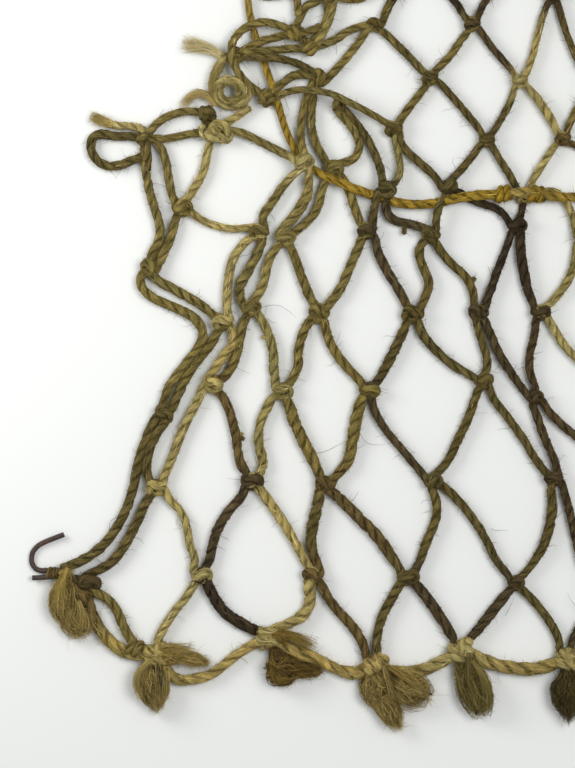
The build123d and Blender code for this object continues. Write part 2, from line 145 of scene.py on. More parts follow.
# Each mesh twine from the bottom edge up: its knots by name, and the places where it bends
# between them.
TWINES = {
    "twine_01": [
        (19.8, 67.8, 3.4), (22, 68.1, 3.0), (26, 69.8), (32, 73), (37.5, 79), (42, 87), (44.5, 95),
        (46, 104), (49, 112), "3a", (55.5, 127.5), (60.8, 134.8), (66.5, 141.5), (68, 147), (64, 152),
        (57, 155), (49, 158.5), (46, 163), "5a", (51, 173), (53.5, 178), (53, 183), (50.5, 190),
        (49, 197), (47.6, 204.5), "7a"],
    "twine_02": [
        "0a", (46, 41), (42, 46), (39, 54), (34.5, 59), "1a", (37, 69), (42, 76), (46, 84), (48.5, 90),
        "2a", (48.5, 100), (49, 106), (52, 113), "3a", (60.8, 129.8), (65, 135.8), (70, 142), "4a",
        (67, 155.5), (60, 159.5), (53, 163), "5a", (54.5, 173), (57, 178), (58, 183), "6a", (57, 192),
        (56, 198), (55, 204), (53, 209), "7a"],
    "twine_03": [
        "0a", (55.5, 50), (60, 55.8), (64, 61), "1b", (65, 71), (63, 75), (62.5, 80), (61, 86),
        (56, 91), "2a", (57, 104), (61, 115), (66, 124), "3b", (75, 139), (78, 143), (77, 147), "4a",
        (75.5, 160), (76.5, 168), (79, 174), "5b", (78, 180.5), (70, 182), (65, 185), "6a", (65, 195),
        (68, 200), (69, 207), "7b", "8a"],
    "twine_04": [
        "0b", (86, 46.5), (79.6, 49.6), (74, 53.5), (70, 60), "1b", (70, 71), (71, 78), (75, 86),
        (81, 92), "2b", (80, 102), (79, 107), (78, 115), (75, 124), "3b", (77, 134), (79, 140),
        (80, 146), "4b", (79, 160), (82, 166), (86, 173), "5b", (87, 185), (91, 190), (94, 195), "6b",
        (92, 207), (86, 210), (79, 213.5), "7b"],
    "twine_05": [
        "0b", (97, 49.5), (102, 53), (103.6, 58.5), "1c", (101, 71), (98, 77), (93, 85), (88, 92), "2b",
        (88, 103), (86, 108), (86, 114), (88, 120), "3c", (91, 134), (91, 140), (89, 147), "4b",
        (88, 163), (89, 170), "5c", (99, 186), (103, 193), "6b", (100, 209), (100, 216), (101.6, 224),
        "7c"],
    "twine_06": [
        "0c", (121, 43), (116, 50), (110, 56), "1c", (103, 75), (104, 83), (106, 90), "2c", (105, 102),
        (102, 108), (98, 116), "3c", (99.5, 135), (99, 140), (101, 147), "4c", (103, 158), (101, 163),
        (98.5, 170), "5c", (103, 183.5), (106, 188), (107, 194), "6c", (106, 207), (104, 212),
        (103.5, 218), (104, 224), "7c", (113, 235), (119, 242), "9e"],
    "twine_07": [
        "0c", (125, 44), (127, 52), (131, 59), "1d", (130, 72), (126, 78), (120, 84), (114, 90), "2c",
        (116, 103), (117, 108.5), (118, 115), (119.5, 121.5), "3d", (114, 136), (110, 142), (108, 148),
        "4c", (113, 160), (116, 167), (119, 174), "5d", (118.5, 186), (117, 191), (115, 196), "6c",
        (118.5, 204), (120, 209), (117, 215), "7d"],
    "twine_08": [
        "0d", (151, 44), (147, 51), (142, 58), "1d", (140, 71), (142, 77), (145, 83), (145.5, 90), "2d",
        (139, 101), (134, 107), (128, 114), (124, 121), "3d", (128, 134), (131, 140), (134, 146), "4d",
        (133, 160), (129, 166), (125.5, 173), "5d", (124.5, 188), "6d", (126, 202.5), (123, 209.5),
        (119, 215.5), "7d"],
    "twine_09": [
        "0d", (158, 46), (165, 55), "1e", (165, 70), (162, 77), (157, 85), (151, 92), "2d", (149, 103),
        (152, 110), (156, 118), (158, 124), "3e", (151, 135), (145, 140), (140, 146), "4d", (142, 159),
        (143, 163), (140.5, 168), (139, 173), "5e", (136, 182.5), (130, 183.5), (128, 188), "6d",
        (133.5, 199), (132.5, 206), "7e", (125, 218, 3.5), (118, 221.5, 6.5), (110, 225.5, 7.5),
        (101, 227, 5.6), (94, 226, 3.6), "8b"],
    "twine_10": [
        "0e", (186, 45), (181, 53), "1e", (180, 73), (182.5, 80), (184, 88), "2e", (178, 104),
        (174, 111), (169, 118), (164, 124), "3e", (162.5, 137), (160, 144), "4e", (157.5, 160),
        (155, 165), (150, 169), (146, 174), "5e", (145, 186, 4.8), "6e", (144, 199), (138, 204),
        (133, 209), "7e", (136, 221), (140, 226), "8e", (137, 237), (131, 243), "9e", (130, 257),
        (136, 262), "10e", (137, 275), (131, 280), "11e"],
    "twine_11": [
        "0e", (192, 47.5), (196.5, 54), "1f", (194, 68), (191.6, 76.5), (190, 85), (188, 92), "2e",
        (184.5, 104), (181.3, 110.5), (178.8, 118), "3f", (172, 130), (167, 137), (163, 146), "4e",
        (163, 160), (166, 168), (169, 176), "5f", (166, 187.5), (160, 189), (154, 192), "6e",
        (154, 201), (158, 206), "7f", (157, 217), (151, 224), "8e", (149, 237), (153, 243), "9f",
        (152, 256), (146, 262), "10e", (145, 275), (150, 280), "11f"],
    "twine_12": [
        "0f", (217, 45), (206, 55), "1f", (201, 71), (204, 80), (207, 89), "2f", (201, 104), (191, 112),
        (183, 119), "3f", (176, 133), (176, 139), (178, 146), "4f", (175.5, 160), (174, 167),
        (173, 175), "5f", "6f", (170, 198), (166, 204), "7f", (166, 216), (170, 223), "8f", (168, 236),
        (162, 243), "9f", (161, 256), (166, 263), "10f", (168, 277), (162, 281), "11f"],
    "twine_13": [
        "0f", (226, 46), (232, 57), "1g", (230, 76), (222, 86), "2f", (212, 108), (209, 119), "3g",
        (196, 134), (188, 141), (184, 148), "4f", (186, 159), (190, 165), (191.5, 172), "5g",
        (190, 187), (186, 193), (181, 193.5), "6f", (179, 200), (183, 206), "7g", (183, 218),
        (178, 225), "8f", (177, 237), (179.5, 248), "9g", (178, 263), "10f", (174, 277), (180, 281),
        "11g"],
    "twine_14": [
        "0g", (250, 48), (243, 58), "1g", (241, 76), (243, 87), "2g", (232, 106), (218, 118), "3g",
        (208, 137), (213, 146), "4g", (209, 161), (201, 171), "5g", (200, 184), (206, 190), "6g",
        (201, 204), (193, 208), "7g", (190, 217), (193, 223), "8g", (191.5, 238), (187.5, 248), "9g",
        (190, 263), "10g", (196, 274), (192, 279), "11g"],
    "twine_15": [
        "0g", (259, 52), (259, 68), (253, 83), "2g", (243, 110), (239, 126), (229, 142), "4g",
        (222, 165), (223, 178), (217, 189), "6g", (212, 208), (206, 219), "8g", (202, 241), (203, 254),
        "10g", (203, 275), (204, 283)],
}
# The look of each mesh twine. For its stretches from the bottom up: their width, n thin, m
# ordinary or k thick, and the tone of each.
TWINE_LOOKS = {
    "twine_01": ("jute_olive", "mmm", "goo"),
    "twine_02": ("jute_olive", "mmmmmmm", "oggoooo"),
    "twine_03": ("jute_tan", "nnmmmnmm", "tttttttd"),
    "twine_04": ("jute_dark", "kmmmmmm", "vdboooo"),
    "twine_05": ("jute_tan", "kmmmmkm", "ttllllo"),
    "twine_06": ("jute_olive", "mkkmmmmm", "bgoooooo"),
    "twine_07": ("jute_olive", "mkkmmmm", "gbooooo"),
    "twine_08": ("jute_dark", "kmnmmmm", "dgdgdgg"),
    "twine_09": ("jute_olive", "kmmmmmnn", "dggggdlo"),
    "twine_10": ("jute_olive", "mkmmmmmmmmm", "gggggggoggd"),
    "twine_11": ("jute_dark", "mmmmmmmmmmm", "ddddvvggovd"),
    "twine_12": ("jute_dark", "mmmmkmmmmmm", "ddddvvggddd"),
    "twine_13": ("jute_tan", "mmmmmmmkmmm", "ttttlttsttt"),
    "twine_14": ("jute_dark", "mmmmmmmmmmm", "bdbdddbogdd"),
    "twine_15": ("jute_olive", "mmmmmm", "ogodog"),
}
# Knots that are tied in another tone than their twine has there.
KNOT_TONES = {"1a": "d", "8a": "g", "7b": "t", "6b": "t", "8f": "t", "9g": "d"}

# Twine that has slipped out of the mesh pattern and lies gathered in the upper left corner:
# the tone of each run, the knots that it ties, and the runs.
GATHERED = {
    "gathered_twine_1": ("oo", ["8a"], [
        ["8a", (63, 220.2), (57.7, 219), (52.4, 216.6), "7a"],
        ["7b", (64, 212.6), (58, 211), (53.5, 210.5), "7a"]]),
    "gathered_twine_2": ("oot", ["8b", "8c"], [
        ["9c", (91, 249.3, 5.0), (85, 249, 5.4), (80, 246.5, 4.0), (77.2, 242.5, 4.6), (76.8, 238, 5.8),
         (78.6, 233.4, 5.8), (82, 228.6, 5.0), "8b"],
        ["8b", (94, 229.5), (99.5, 233, 2.2), "7c"],
        ["7b", (76, 216.4, 3.0), (79.6, 218.4, 2.6), (83.4, 221.4)]]),
    "gathered_twine_3": ("ogo", ["9c"], [
        ["9c", (92, 244, 5.0), (85, 242.5, 5.4), "8c"],
        ["8c", (86, 237.6, 6.0), (93, 237, 6.0), (99, 235.6, 4.6), (103, 233.5, 3.4), "7c"],
        ["9d", (96, 240.5, 3.0), (90, 239.9, 3.4), (85, 239.6, 4.6), (80.6, 239, 4.8)]]),
    "gathered_twine_4": ("ogoooo", ["9d", "10c"], [
        ["9c", (99.4, 250.6), (101.4, 254.8), (105, 256.2), "10c"],
        ["9c", (100.9, 243.8, 2.9), "9d"],
        ["9d", (111, 242.5), (116, 247.5), "9e"],
        ["9d", (107.5, 247), (109.5, 253), "10c"],
        ["10c", (101, 261.5), (93, 258), (87, 258)],
        ["10c", (116, 256.5), (123, 258), (127, 264)]]),
}

# The straw-coloured line that ties the mesh ends along the bottom edge.
EDGE_LINE = [(29.5, 56), (31.5, 50), (35.5, 44), (41, 40), (47, 38.5), "0a", (58, 30), (65, 31),
    (71, 32.5), (76, 37), (83, 42), "0b", (97, 40), (105, 38), (112, 34), (119, 32.5), "0c", (130, 33),
    (139, 33), (147, 36.6), "0d", (160, 37.2), (167, 35.2), (175, 34), (182, 35), "0e", (196, 36),
    (205, 33.5), (214, 35), "0f", (230, 38), (239, 37), (247, 37), "0g"]

# The mustard cord that is threaded through the meshes, from its top end to its side end.
DRAW_CORD = [(88, 277), (84.5, 271), (82, 264), (82.4, 257), (83, 252), (84.6, 246), (86.5, 239.5),
    (88.5, 234), (90.6, 228), (92.5, 222), (94.5, 215), (96.7, 209.5), (99, 205.5), (102, 202),
    (106, 199.3), (111, 197, 3.4), (116, 194.7, 4.6), (121, 192.9, 3.0), (127, 190.8, 2.2),
    (133, 189, 3.6), (140, 188.7, 2.4), (146, 189.5, 1.8), (152, 190.8, 3.6), (159, 192, 4.4),
    (167, 192, 3.2), (173, 193, 4.8), (179, 192.6, 4.6), (186, 191, 2.8), (193, 191.3), (200, 191.5),
    (207, 188.5), (213, 184), (219, 180.5)]

# The selvedge loop that stands out at the upper left, and its frayed end.
EAR_LOOP = [(43, 211.6), (38.8, 211.4), (34.6, 212.3), (31.2, 212), (29.9, 208.6), (30.8, 205),
    (33.4, 202.4), (37.2, 201.4), (40.6, 202), (43, 203.3)]
EAR_TAIL = [(43, 215.1), (39.6, 214.9), (36.2, 215.7), (32.4, 217.4)]

# A fuzzy coil of spare twine beside the knots of the upper left corner, and its inner turn.
SPARE_COIL = [(75.2, 239, 3.6), (73.4, 235.6, 2.6), (71.2, 231.6, 2.2), (70.6, 227.4, 2.2),
    (72.2, 223.6, 2.2), (76, 221.4, 2.2), (80.2, 222, 2.6), (82.8, 225, 3.4), (81.2, 228.6, 4.4),
    (77.4, 230.2, 5.0), (73.6, 229.8, 4.4), (72, 227, 3.8)]
INNER_COIL = [(79.8, 226, 4.4), (79, 229, 4.8), (75.8, 229.9, 4.6), (72.8, 228, 4.2),
    (72.9, 224.8, 3.8), (75.4, 222.8, 3.6), (78.9, 223.2, 3.8), (80.2, 226.2, 4.2)]

# Tufts of frayed fibre: slot, tone of the outer fibres, tone of the heart, the place they grow
# from, and their lobes, each with its middle, half lengths and turn in the plan.
TUFTS = {
    "tuft_1": ("jute_straw", "k", "b", (22, 64), [
        ((21.2, 56.6, 3.4), (6.6, 4.6, 3.4), 95), ((25.0, 51.0, 3.3), (6.0, 4.6, 3.3), 118)]),
    "tuft_2": ("jute_straw", "k", "b", (51.4, 37.4), [
        ((50.4, 28.0, 4.0), (6.6, 4.6, 4.0), 108)]),
    "tuft_3": ("jute_dark", "w", "v", (91.4, 41), [
        ((94.2, 34.2, 4.0), (6.2, 5.0, 4.0), 0), ((101.4, 33.8, 2.6), (5.0, 2.5, 2.6), -8)]),
    "tuft_4": ("jute_straw", "k", "b", (125.4, 34.4), [
        ((124.4, 27.4, 3.4), (6.2, 4.4, 3.4), 108), ((129.4, 20.4, 3.0), (6.8, 3.7, 3.0), 122),
        ((136.4, 27.9, 3.6), (7.4, 5.2, 3.6), 152)]),
    "tuft_5": ("jute_dark", "l", "d", (154.2, 38.6), [
        ((157.2, 28.8, 3.8), (10.2, 4.9, 3.8), 112)]),
    "tuft_6": ("jute_dark", "g", "v", (189, 35), [
        ((188.8, 25.6, 4.2), (7.6, 5.7, 4.2), 92)]),
    "tuft_7": ("jute_dark", "g", "v", (222, 34), [
        ((223, 24.6, 4.0), (8.0, 5.4, 4.0), 98)]),
    "tuft_8": ("jute_straw", "s", "b", (254, 37), [
        ((252.8, 27.6, 4.0), (8.0, 5.2, 4.0), 86)]),
}
# Frayed ends that open like a brush: slot, tone, tone of the longest fibres, and their routes,
# each with its half width at the tip and number of fibres.
FRAYED_ENDS = {
    "frayed_tail": ("jute_straw", "q", "p", [
        ([(74.6, 237.2, 3), (71, 240.2, 2.8), (66.6, 241.4, 2.6), (60.4, 242.8, 2.4)], 3.3, 420)]),
    "frayed_bow": ("jute_tan", "k", "p", [
        ([(71.4, 221.6, 2.6), (69.8, 225, 2.6), (66, 226.2, 2.4), (62.4, 224.6, 2.2),
          (60.4, 220.8, 2.0)], 1.7, 300)]),
}
# Wisps of loose fibre on the tufts, hitches and coil: route, half width at the tip, number of
# fibres, and a tone where it isn't the piece's own.
WISPS = {
    "tuft_1": [
        ([(26, 57, 6.0), (28.2, 52.6, 6.2), (26.8, 47.6, 5.0)], 2.6, 220, "s"),
        ([(24.2, 61, 6.4), (24.8, 56.4, 7.2), (23.6, 52, 6.6)], 1.4, 140, "b"),
        ([(22.6, 68, 4.2), (20.6, 63.6, 5.2), (19.4, 58, 5.4), (20.8, 52.6, 4.8)], 4.2, 360, "h"),
        ([(20, 66, 4.0), (20.4, 66.6, 4.6), (22.4, 66.8, 4.4), (24.6, 66, 4.0)], 1.6, 120, "h")],
    "tuft_2": [
        ([(50.4, 37.6, 5.4), (46.6, 34.4, 6.6), (45.4, 29.4, 6.6), (47.6, 24.6, 5.0)], 2.2, 260, "t"),
        ([(52.6, 36.4, 7.4), (53.2, 32, 8.6), (52.8, 27.4, 8.2), (51.8, 22.8, 6.2)], 1.7, 220, "v"),
        ([(55.2, 34, 6.0), (56.2, 29, 6.6), (54.6, 24, 5.8), (51, 21.6, 4.4)], 1.1, 120, "t")],
    "tuft_3": [
        ([(90.4, 38, 6.0), (90.8, 33.6, 7.6), (93, 29.6, 7.0)], 2.2, 130, "w"),
        ([(97, 36, 3), (101, 35.6, 3), (105, 35, 2.6), (109, 34.2, 2.2)], 2.2, 160)],
    "tuft_4": [
        ([(123, 34, 3), (121.6, 28.6, 3), (124.6, 22.6, 3.4), (130, 17.4, 3),
          (134, 14.4, 2.4)], 2.8, 260, "h"),
        ([(127.6, 35.6, 6.4), (128.8, 31, 7.0), (130, 27, 6.0), (130.4, 23.6, 4.4)], 1.5, 180, "b"),
        ([(129.4, 35.4, 6.2), (133.4, 32.8, 7.6), (137.6, 29.8, 7.6), (141, 27, 6.0)], 1.7, 160, "w")],
    "tuft_5": [
        ([(156.6, 37, 5.6), (160.4, 32.6, 7.2), (162.2, 26.6, 7.0), (162.0, 20, 4.6)], 2.4, 300, "l"),
        ([(155.6, 38.6, 6.4), (155.4, 33.6, 8.0), (156.6, 28.6, 8.2), (158.4, 24, 7)], 1.6, 180, "g")],
    "edge_hitch_1": [
        ([(52, 38.4, 4.4), (56, 40.2, 4.4), (60, 40.4, 3.8), (64, 39, 3.0)], 4.2, 420),
        ([(54, 37, 4.4), (60, 37.8, 4.2), (65.6, 37.4, 3.4), (70.4, 36.4, 3)], 2.4, 260)],
    "edge_hitch_2": [
        ([(89, 46.4, 4.6), (94, 46.4, 4.6), (99, 44.6, 4.0), (105.4, 41.4, 3.4)], 2.8, 300)],
    "spare_coil": [
        ([(75, 238.8, 3.4), (71.4, 233, 3.4), (70.4, 227, 3.2), (73.4, 222.4, 3)], 2.2, 200),
        ([(80, 222.6, 3), (83, 226, 4), (79, 230.4, 4.6), (73.6, 229.6, 4)], 1.9, 160)],
}
# Fluffy lumps of fibre on the edge hitches: middle, half lengths and turn of each.
PUFFS = {
    "edge_hitch_1": [((57.8, 39.4, 4.2), (5.2, 3.4, 2.8), -8),
        ((64.6, 37.6, 3.2), (4.4, 2.3, 2.2), -14)],
    "edge_hitch_2": [((93.4, 45.6, 4.4), (3.6, 2.2, 2.2), -12)],
}
# Short stubs that stand out of a twine: route, width and tone.
STUBS = {
    "gathered_twine_1": [
        ([(67.4, 215.4, 3), (67.2, 212.2, 3.8), (70, 210.6, 4.8), (73, 211.4, 5), (74.4, 209.6, 4),
          (76.8, 211.2, 3.8), (75.4, 214.6, 4.4), (72, 215.8, 4.6), (69.6, 213.6, 5.2),
          (72.6, 212.4, 5)], 2.9, "t")],
    "gathered_twine_4": [
        ([(99, 251, 3), (99.2, 254, 3), (98.8, 258, 2.6), (96, 261.5, 2.4)], 2.5, "o"),
        ([(104.8, 241, 3.6), (107.4, 245.4, 3.4), (110.4, 252, 3), (111.4, 259, 2.6)], 2.5, "l"),
        ([(98, 245.8, 3.4), (101, 245.8, 3.6), (104, 246.6, 3.4), (107, 248.4, 2.6)], 2.4, "o")],
    "twine_01": [
        ([(20.2, 65.9, 2.2), (22.6, 64.9, 2.6), (25.6, 64, 2.8), (29.4, 63.2, 2.8)], 2.8, "d"),
        ([(47.6, 213, 3), (48.8, 209, 3.2), (49.2, 205, 3), (49, 199.6, 2.4)], 2.5, "g")],
    "twine_03": [
        ([(78.2, 111), (79.6, 112.4), (81.2, 112.6)], 1.5, "t")],
    "twine_04": [
        ([(79.4, 112.6), (80.6, 111.2), (81.2, 110.2)], 1.3, "b")],
    "twine_05": [
        ([(89.4, 144), (88.2, 145), (86.6, 144.6)], 1.4, "t")],
    "twine_09": [
        ([(134.4, 182.6), (134.6, 180.8), (134.4, 178.6)], 1.6, "g")],
    "twine_10": [
        ([(155.6, 163), (157, 163.8), (158.6, 164.2)], 1.5, "g")],
}
# Long loose fibres that lie beside a twine.
THREADS = {
    "twine_01": [[(36.4, 79), (36, 82.4), (37.6, 84.6), (40, 84.4), (40.6, 82.6)]],
    "twine_05": [[(86.4, 154.4, 3), (90, 155.6, 3.6), (94.6, 155, 3), (98.4, 151.2, 2)]],
    "twine_06": [[(105.4, 106), (108.6, 106.6), (112, 108.6), (115.4, 110.2)],
        [(119.6, 113), (121, 109.8), (124.6, 108.6), (128.4, 109)]],
    "twine_09": [[(163.4, 81), (165, 80), (167.2, 80.8), (169.4, 80)]],
    "twine_11": [[(194.4, 52), (190, 56), (188.6, 60)], [(168, 52), (169.6, 54.6), (171, 58.2)]],
}
# The place in the plan that the hook turns about.
HOOK_PIVOT = (17.8, 66.2)


# ---------------------------------------------------------------- points, lines and colours
def place(point, default_height=REST_HEIGHT):
    """A plan point in the row frame, in mm."""
    height = point[2] if len(point) > 2 else default_height
    return np.array([point[0] - PLAN_CENTRE[0], point[1] - PLAN_CENTRE[1], height], float)


def linear(srgb):
    """An sRGB colour as linear light."""
    c = np.array(srgb, float) / 255
    return np.where(c <= 0.04045, c / 12.92, ((c + 0.055) / 1.055) ** 2.4)


TONE = {letter: linear(colour) for letter, colour in COLOURS.items()}


def unit(v):
    return v / np.maximum(np.linalg.norm(v, axis=-1, keepdims=True), 1e-9)


def lift(lines, gap):
    """Lines of fibre that would sink into the surface lie on it instead."""
    lines[..., 2] = np.maximum(lines[..., 2], LOWEST + gap)


def smooth(points):
    """The smooth line that has these control points: a NURBS spline, read back as a line."""
    curve = bpy.data.curves.new("route", "CURVE")
    curve.dimensions = "3D"
    curve.resolution_u = 12
    spline = curve.splines.new("NURBS")
    spline.points.add(len(points) - 1)
    for control_point, p in zip(spline.points, points):
        control_point.co = (*p, 1)
    spline.order_u = 3
    spline.use_endpoint_u = True
    holder = bpy.data.objects.new("route", curve)
    mesh = bpy.data.meshes.new_from_object(holder)
    line = np.array([v.co[:] for v in mesh.vertices], float)
    bpy.data.objects.remove(holder)
    bpy.data.meshes.remove(mesh)
    bpy.data.curves.remove(curve)
    return line


def evenly(line, values, step=STEP):
    """The line and its values at equal steps along it, and how far along each step is."""
    along = np.concatenate([[0], np.cumsum(np.linalg.norm(np.diff(line, axis=0), axis=1))])
    s = np.linspace(0, along[-1], max(int(along[-1] / step), 4) + 1)
    share = np.interp(s, along, np.linspace(0, 1, len(line)))
    spots = np.linspace(0, 1, len(values))
    values = np.stack([np.interp(share, spots, values[:, k]) for k in range(values.shape[1])], 1)
    return np.stack([np.interp(s, along, line[:, k]) for k in range(3)], 1), values, s


def frames(line):
    """Directions along the line and two across it that don't spin."""
    t = unit(np.gradient(line, axis=0))
    u = np.zeros_like(t)
    u[0] = unit(np.cross(t[0], (0.13, 0.07, 1.0)))
    for i in range(1, len(t)):
        side = u[i - 1] - np.dot(u[i - 1], t[i]) * t[i]
        u[i] = side / max(np.linalg.norm(side), 1e-9)
    return t, u, np.cross(t, u)


def wander(s, drift, sides=1):
    """Smooth noise along a strand, one column for each side: drift is how much it is and over
    how many mm it changes."""
    amount, wavelength = drift
    count = int(s[-1] / wavelength) + 4
    rough = rng.normal(0, 0.6, (count, sides))
    x = s / wavelength + rng.uniform(0, 1)
    i = x.astype(int)
    f = (x - i)[:, None]
    f = f * f * (3 - 2 * f)
    return amount * (rough[i] * (1 - f) + rough[i + 1] * f)


# ---------------------------------------------------------------- pieces
class Piece:
    """One visible piece, gathered tube by tube and built at the end."""

    def __init__(self, name, body, slot, nodes=()):
        self.name, self.body, self.slot, self.nodes = name, body, slot, nodes
        self.parts, self.count = [], 0

    def rings(self, rings, tint, lay):
        """Tubes: rings is (tubes, rings, sides, 3) in mm, or (rings, sides, 3) for one tube,
        with the tint and the place in the fibres' lay at each of its points."""
        if rings.ndim == 3:
            rings, tint, lay = rings[None], tint[None], lay[None]
        m, n, k = rings.shape[:3]
        base = (np.arange(m) * n * k)[:, None, None]
        i = (np.arange(n - 1) * k)[None, :, None]
        j = np.arange(k)[None, None, :]
        a, b = base + i + j, base + i + (j + 1) % k
        quads = np.stack([a, b, b + k, a + k], -1).reshape(-1, 4) + self.count
        self.parts.append((rings.reshape(-1, 3), quads, tint.reshape(-1, 3), lay.reshape(-1, 3)))
        self.count += m * n * k

    def build(self):
        """The piece as a Blender object that rides on its body and replaces its CAD nodes."""
        co, quads, tint, lay = (np.concatenate(column) for column in zip(*self.parts))
        quads = quads.astype(np.int32)
        tint = np.clip(tint, 0.002, 0.9)
        lift(co, 0)
        mesh = bpy.data.meshes.new(self.name)
        mesh.vertices.add(len(co))
        mesh.vertices.foreach_set("co", (co * MM).astype(np.float32).ravel())
        mesh.loops.add(quads.size)
        mesh.loops.foreach_set("vertex_index", quads.ravel())
        mesh.polygons.add(len(quads))
        mesh.polygons.foreach_set("loop_start", np.arange(0, quads.size, 4, dtype=np.int32))
        mesh.polygons.foreach_set("use_smooth", np.ones(len(quads), bool))
        mesh.update(calc_edges=True)
        colour = mesh.color_attributes.new("tint", "FLOAT_COLOR", "POINT")
        rgba = np.concatenate([tint, np.ones((len(tint), 1))], 1).astype(np.float32)
        colour.data.foreach_set("color", rgba.ravel())
        along = mesh.attributes.new("lay", "FLOAT_VECTOR", "POINT")
        along.data.foreach_set("vector", lay.astype(np.float32).ravel())
        mesh.materials.append(JUTE[self.slot])
        piece = bpy.data.objects.new(self.name, mesh)
        bpy.context.scene.collection.objects.link(piece)
        if self.body:
            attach(piece, self.body)
        if self.nodes:
            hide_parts(*self.nodes)
        return piece


def strand(piece, line, widths, tints, s, lay_length=TWINE_LAY):
    """A two-ply jute twine round a line: each ply is a tube that winds about its partner."""
    t, u, v = frames(line)
    alpha = np.linspace(0, 2 * pi, PLY_SIDES, endpoint=False)[None, :]
    turn = 2 * pi * s / lay_length + rng.uniform(0, 2 * pi) + wander(s, TURN_DRIFT)[:, 0]
    swell = widths * (1 + wander(s, SWELL)[:, 0])
    taper = np.sqrt(np.clip(np.minimum(s, s[-1] - s) / END_TAPER, 0.02, 1))
    slow = 1 + wander(s, SLOW_SHADE)
    warm = wander(s, WARMTH)
    # Painted shade between the plies: where a ply faces its partner it is drawn darker.
    crevice_shade_mask = np.clip((0.3 - np.cos(alpha)) / 1.1, 0, 1)
    for ply in range(2):
        theta = turn + ply * pi
        out = np.cos(theta)[:, None] * u + np.sin(theta)[:, None] * v
        across = -np.sin(theta)[:, None] * u + np.cos(theta)[:, None] * v
        size = swell * (1 + wander(s, PLY_SWELL)[:, 0]) * taper
        offset = (PLY_OFFSET + wander(s, OFFSET_DRIFT)[:, 0]) * swell * taper
        rough = 1 + wander(s, FINE_BUMPS, PLY_SIDES) + wander(s, COARSE_BUMPS, PLY_SIDES)
        radial = (PLY_HALF_THICKNESS * size)[:, None] * rough * np.cos(alpha)
        sideways = (PLY_HALF_WIDTH * size)[:, None] * rough * np.sin(alpha)
        rings = (line + offset[:, None] * out)[:, None, :] + radial[..., None] * out[:, None, :]
        rings = rings + sideways[..., None] * across[:, None, :]
        # the painted crevice shade goes into the ply's colour
        shade = 1 - PAINTED_CREVICE_SHADE * crevice_shade_mask * np.ones_like(rough)
        blotch = 1 + wander(s, LONG_BLOTCHES) + wander(s, SHORT_BLOTCHES)
        blotch = blotch + wander(s, FIBRE_BLOTCHES, PLY_SIDES)
        tint = tints[:, None, :] * (slow * SHINE * shade * blotch)[..., None]
        tint = tint * np.stack([1 + warm, np.ones_like(warm), 1 - 2 * warm], -1)
        fibre = alpha + theta[:, None]
        drift = np.broadcast_to((s * FIBRE_STRETCH)[:, None], fibre.shape)
        lay = np.stack([np.cos(fibre) + 3.1 * ply, np.sin(fibre), drift], -1)
        piece.rings(rings, tint, lay)


def thread(piece, line, radius, tints):
    """Fibres along lines (fibres, rings, 3), each with its own radius and tint."""
    m, n = line.shape[:2]
    t = unit(np.gradient(line, axis=1))
    across = unit(np.cross(t, unit(rng.normal(size=(m, 1, 3)))))
    up = np.cross(t, across)
    thin = (1 - TIP_THINNING * np.linspace(0, 1, n) ** 2)[None, :, None, None]
    beta = (np.arange(FIBRE_SIDES) * 2 * pi / FIBRE_SIDES)[None, None, :, None]
    size = np.broadcast_to(np.asarray(radius, float).reshape(-1, 1, 1, 1), (m, 1, 1, 1))
    rings = line[:, :, None] + size * thin * (
        np.cos(beta) * across[:, :, None] + np.sin(beta) * up[:, :, None]
    )
    tint = np.broadcast_to(tints[:, None, None, :], rings.shape)
    lay = np.broadcast_to(rng.uniform(0, 9, (m, 1, 1, 3)), rings.shape)
    piece.rings(rings, tint, lay)


def hairs(piece, starts, ways, lengths, curls, radius, tints, rings):
    """Many loose fibres, each bending one way, that thin out towards the tip."""
    m = len(starts)
    side = unit(np.cross(ways, unit(rng.normal(size=(m, 3)))))
    t = np.linspace(0, 1, rings)[None, :]
    wave = rng.uniform(0, 0.5, (m, 1)) * np.sin(t * rng.uniform(3, 9, (m, 1)))
    angle = curls[:, None] * t ** 1.2 + wave
    way = ways[:, None] * np.cos(angle)[..., None] + side[:, None] * np.sin(angle)[..., None]
    steps = way * (lengths / (rings - 1))[:, None, None]
    line = starts[:, None] + np.concatenate([np.zeros((m, 1, 3)), np.cumsum(steps, 1)[:, :-1]], 1)
    lift(line, 0.1)
    thread(piece, line, radius, tints)


def lying(piece, line, widths, tints, s):
    """Fibres that have worked loose and lie along the twine's surface, light and dark."""
    count, n = int(s[-1] * LYING_PER_MM), 4
    share = np.linspace(0, 1, n)
    _, u, v = frames(line)
    reach = rng.uniform(1.5, 5.0, (count, 1)) * share[None, :]
    at = np.clip(rng.uniform(0, s[-1], (count, 1)) + reach, 0, s[-1] - STEP) / STEP
    at = np.minimum(at, len(s) - 2)
    i = at.astype(int)
    f = (at - i)[..., None]
    phi = rng.uniform(0, 2 * pi, (count, 1)) + rng.normal(0, 0.5, (count, 1)) * share
    out = np.cos(phi)[..., None] * u[i] + np.sin(phi)[..., None] * v[i]
    height = 0.43 + 0.05 * rng.random((count, 1)) + rng.uniform(0, 0.07, (count, n))
    lines = line[i] * (1 - f) + line[i + 1] * f + out * (height * widths[i])[..., None]
    lift(lines, 0.1)
    shade = np.exp(rng.normal(0.08, 0.52, (count, 1)))
    grey = np.array([1.0, 1.0, 1.0 + PALE_FIBRE]) ** np.clip(shade - 1, 0, 1)
    thread(piece, lines, rng.uniform(0.06, 0.13, count), tints[i[:, 0]] * shade * grey)


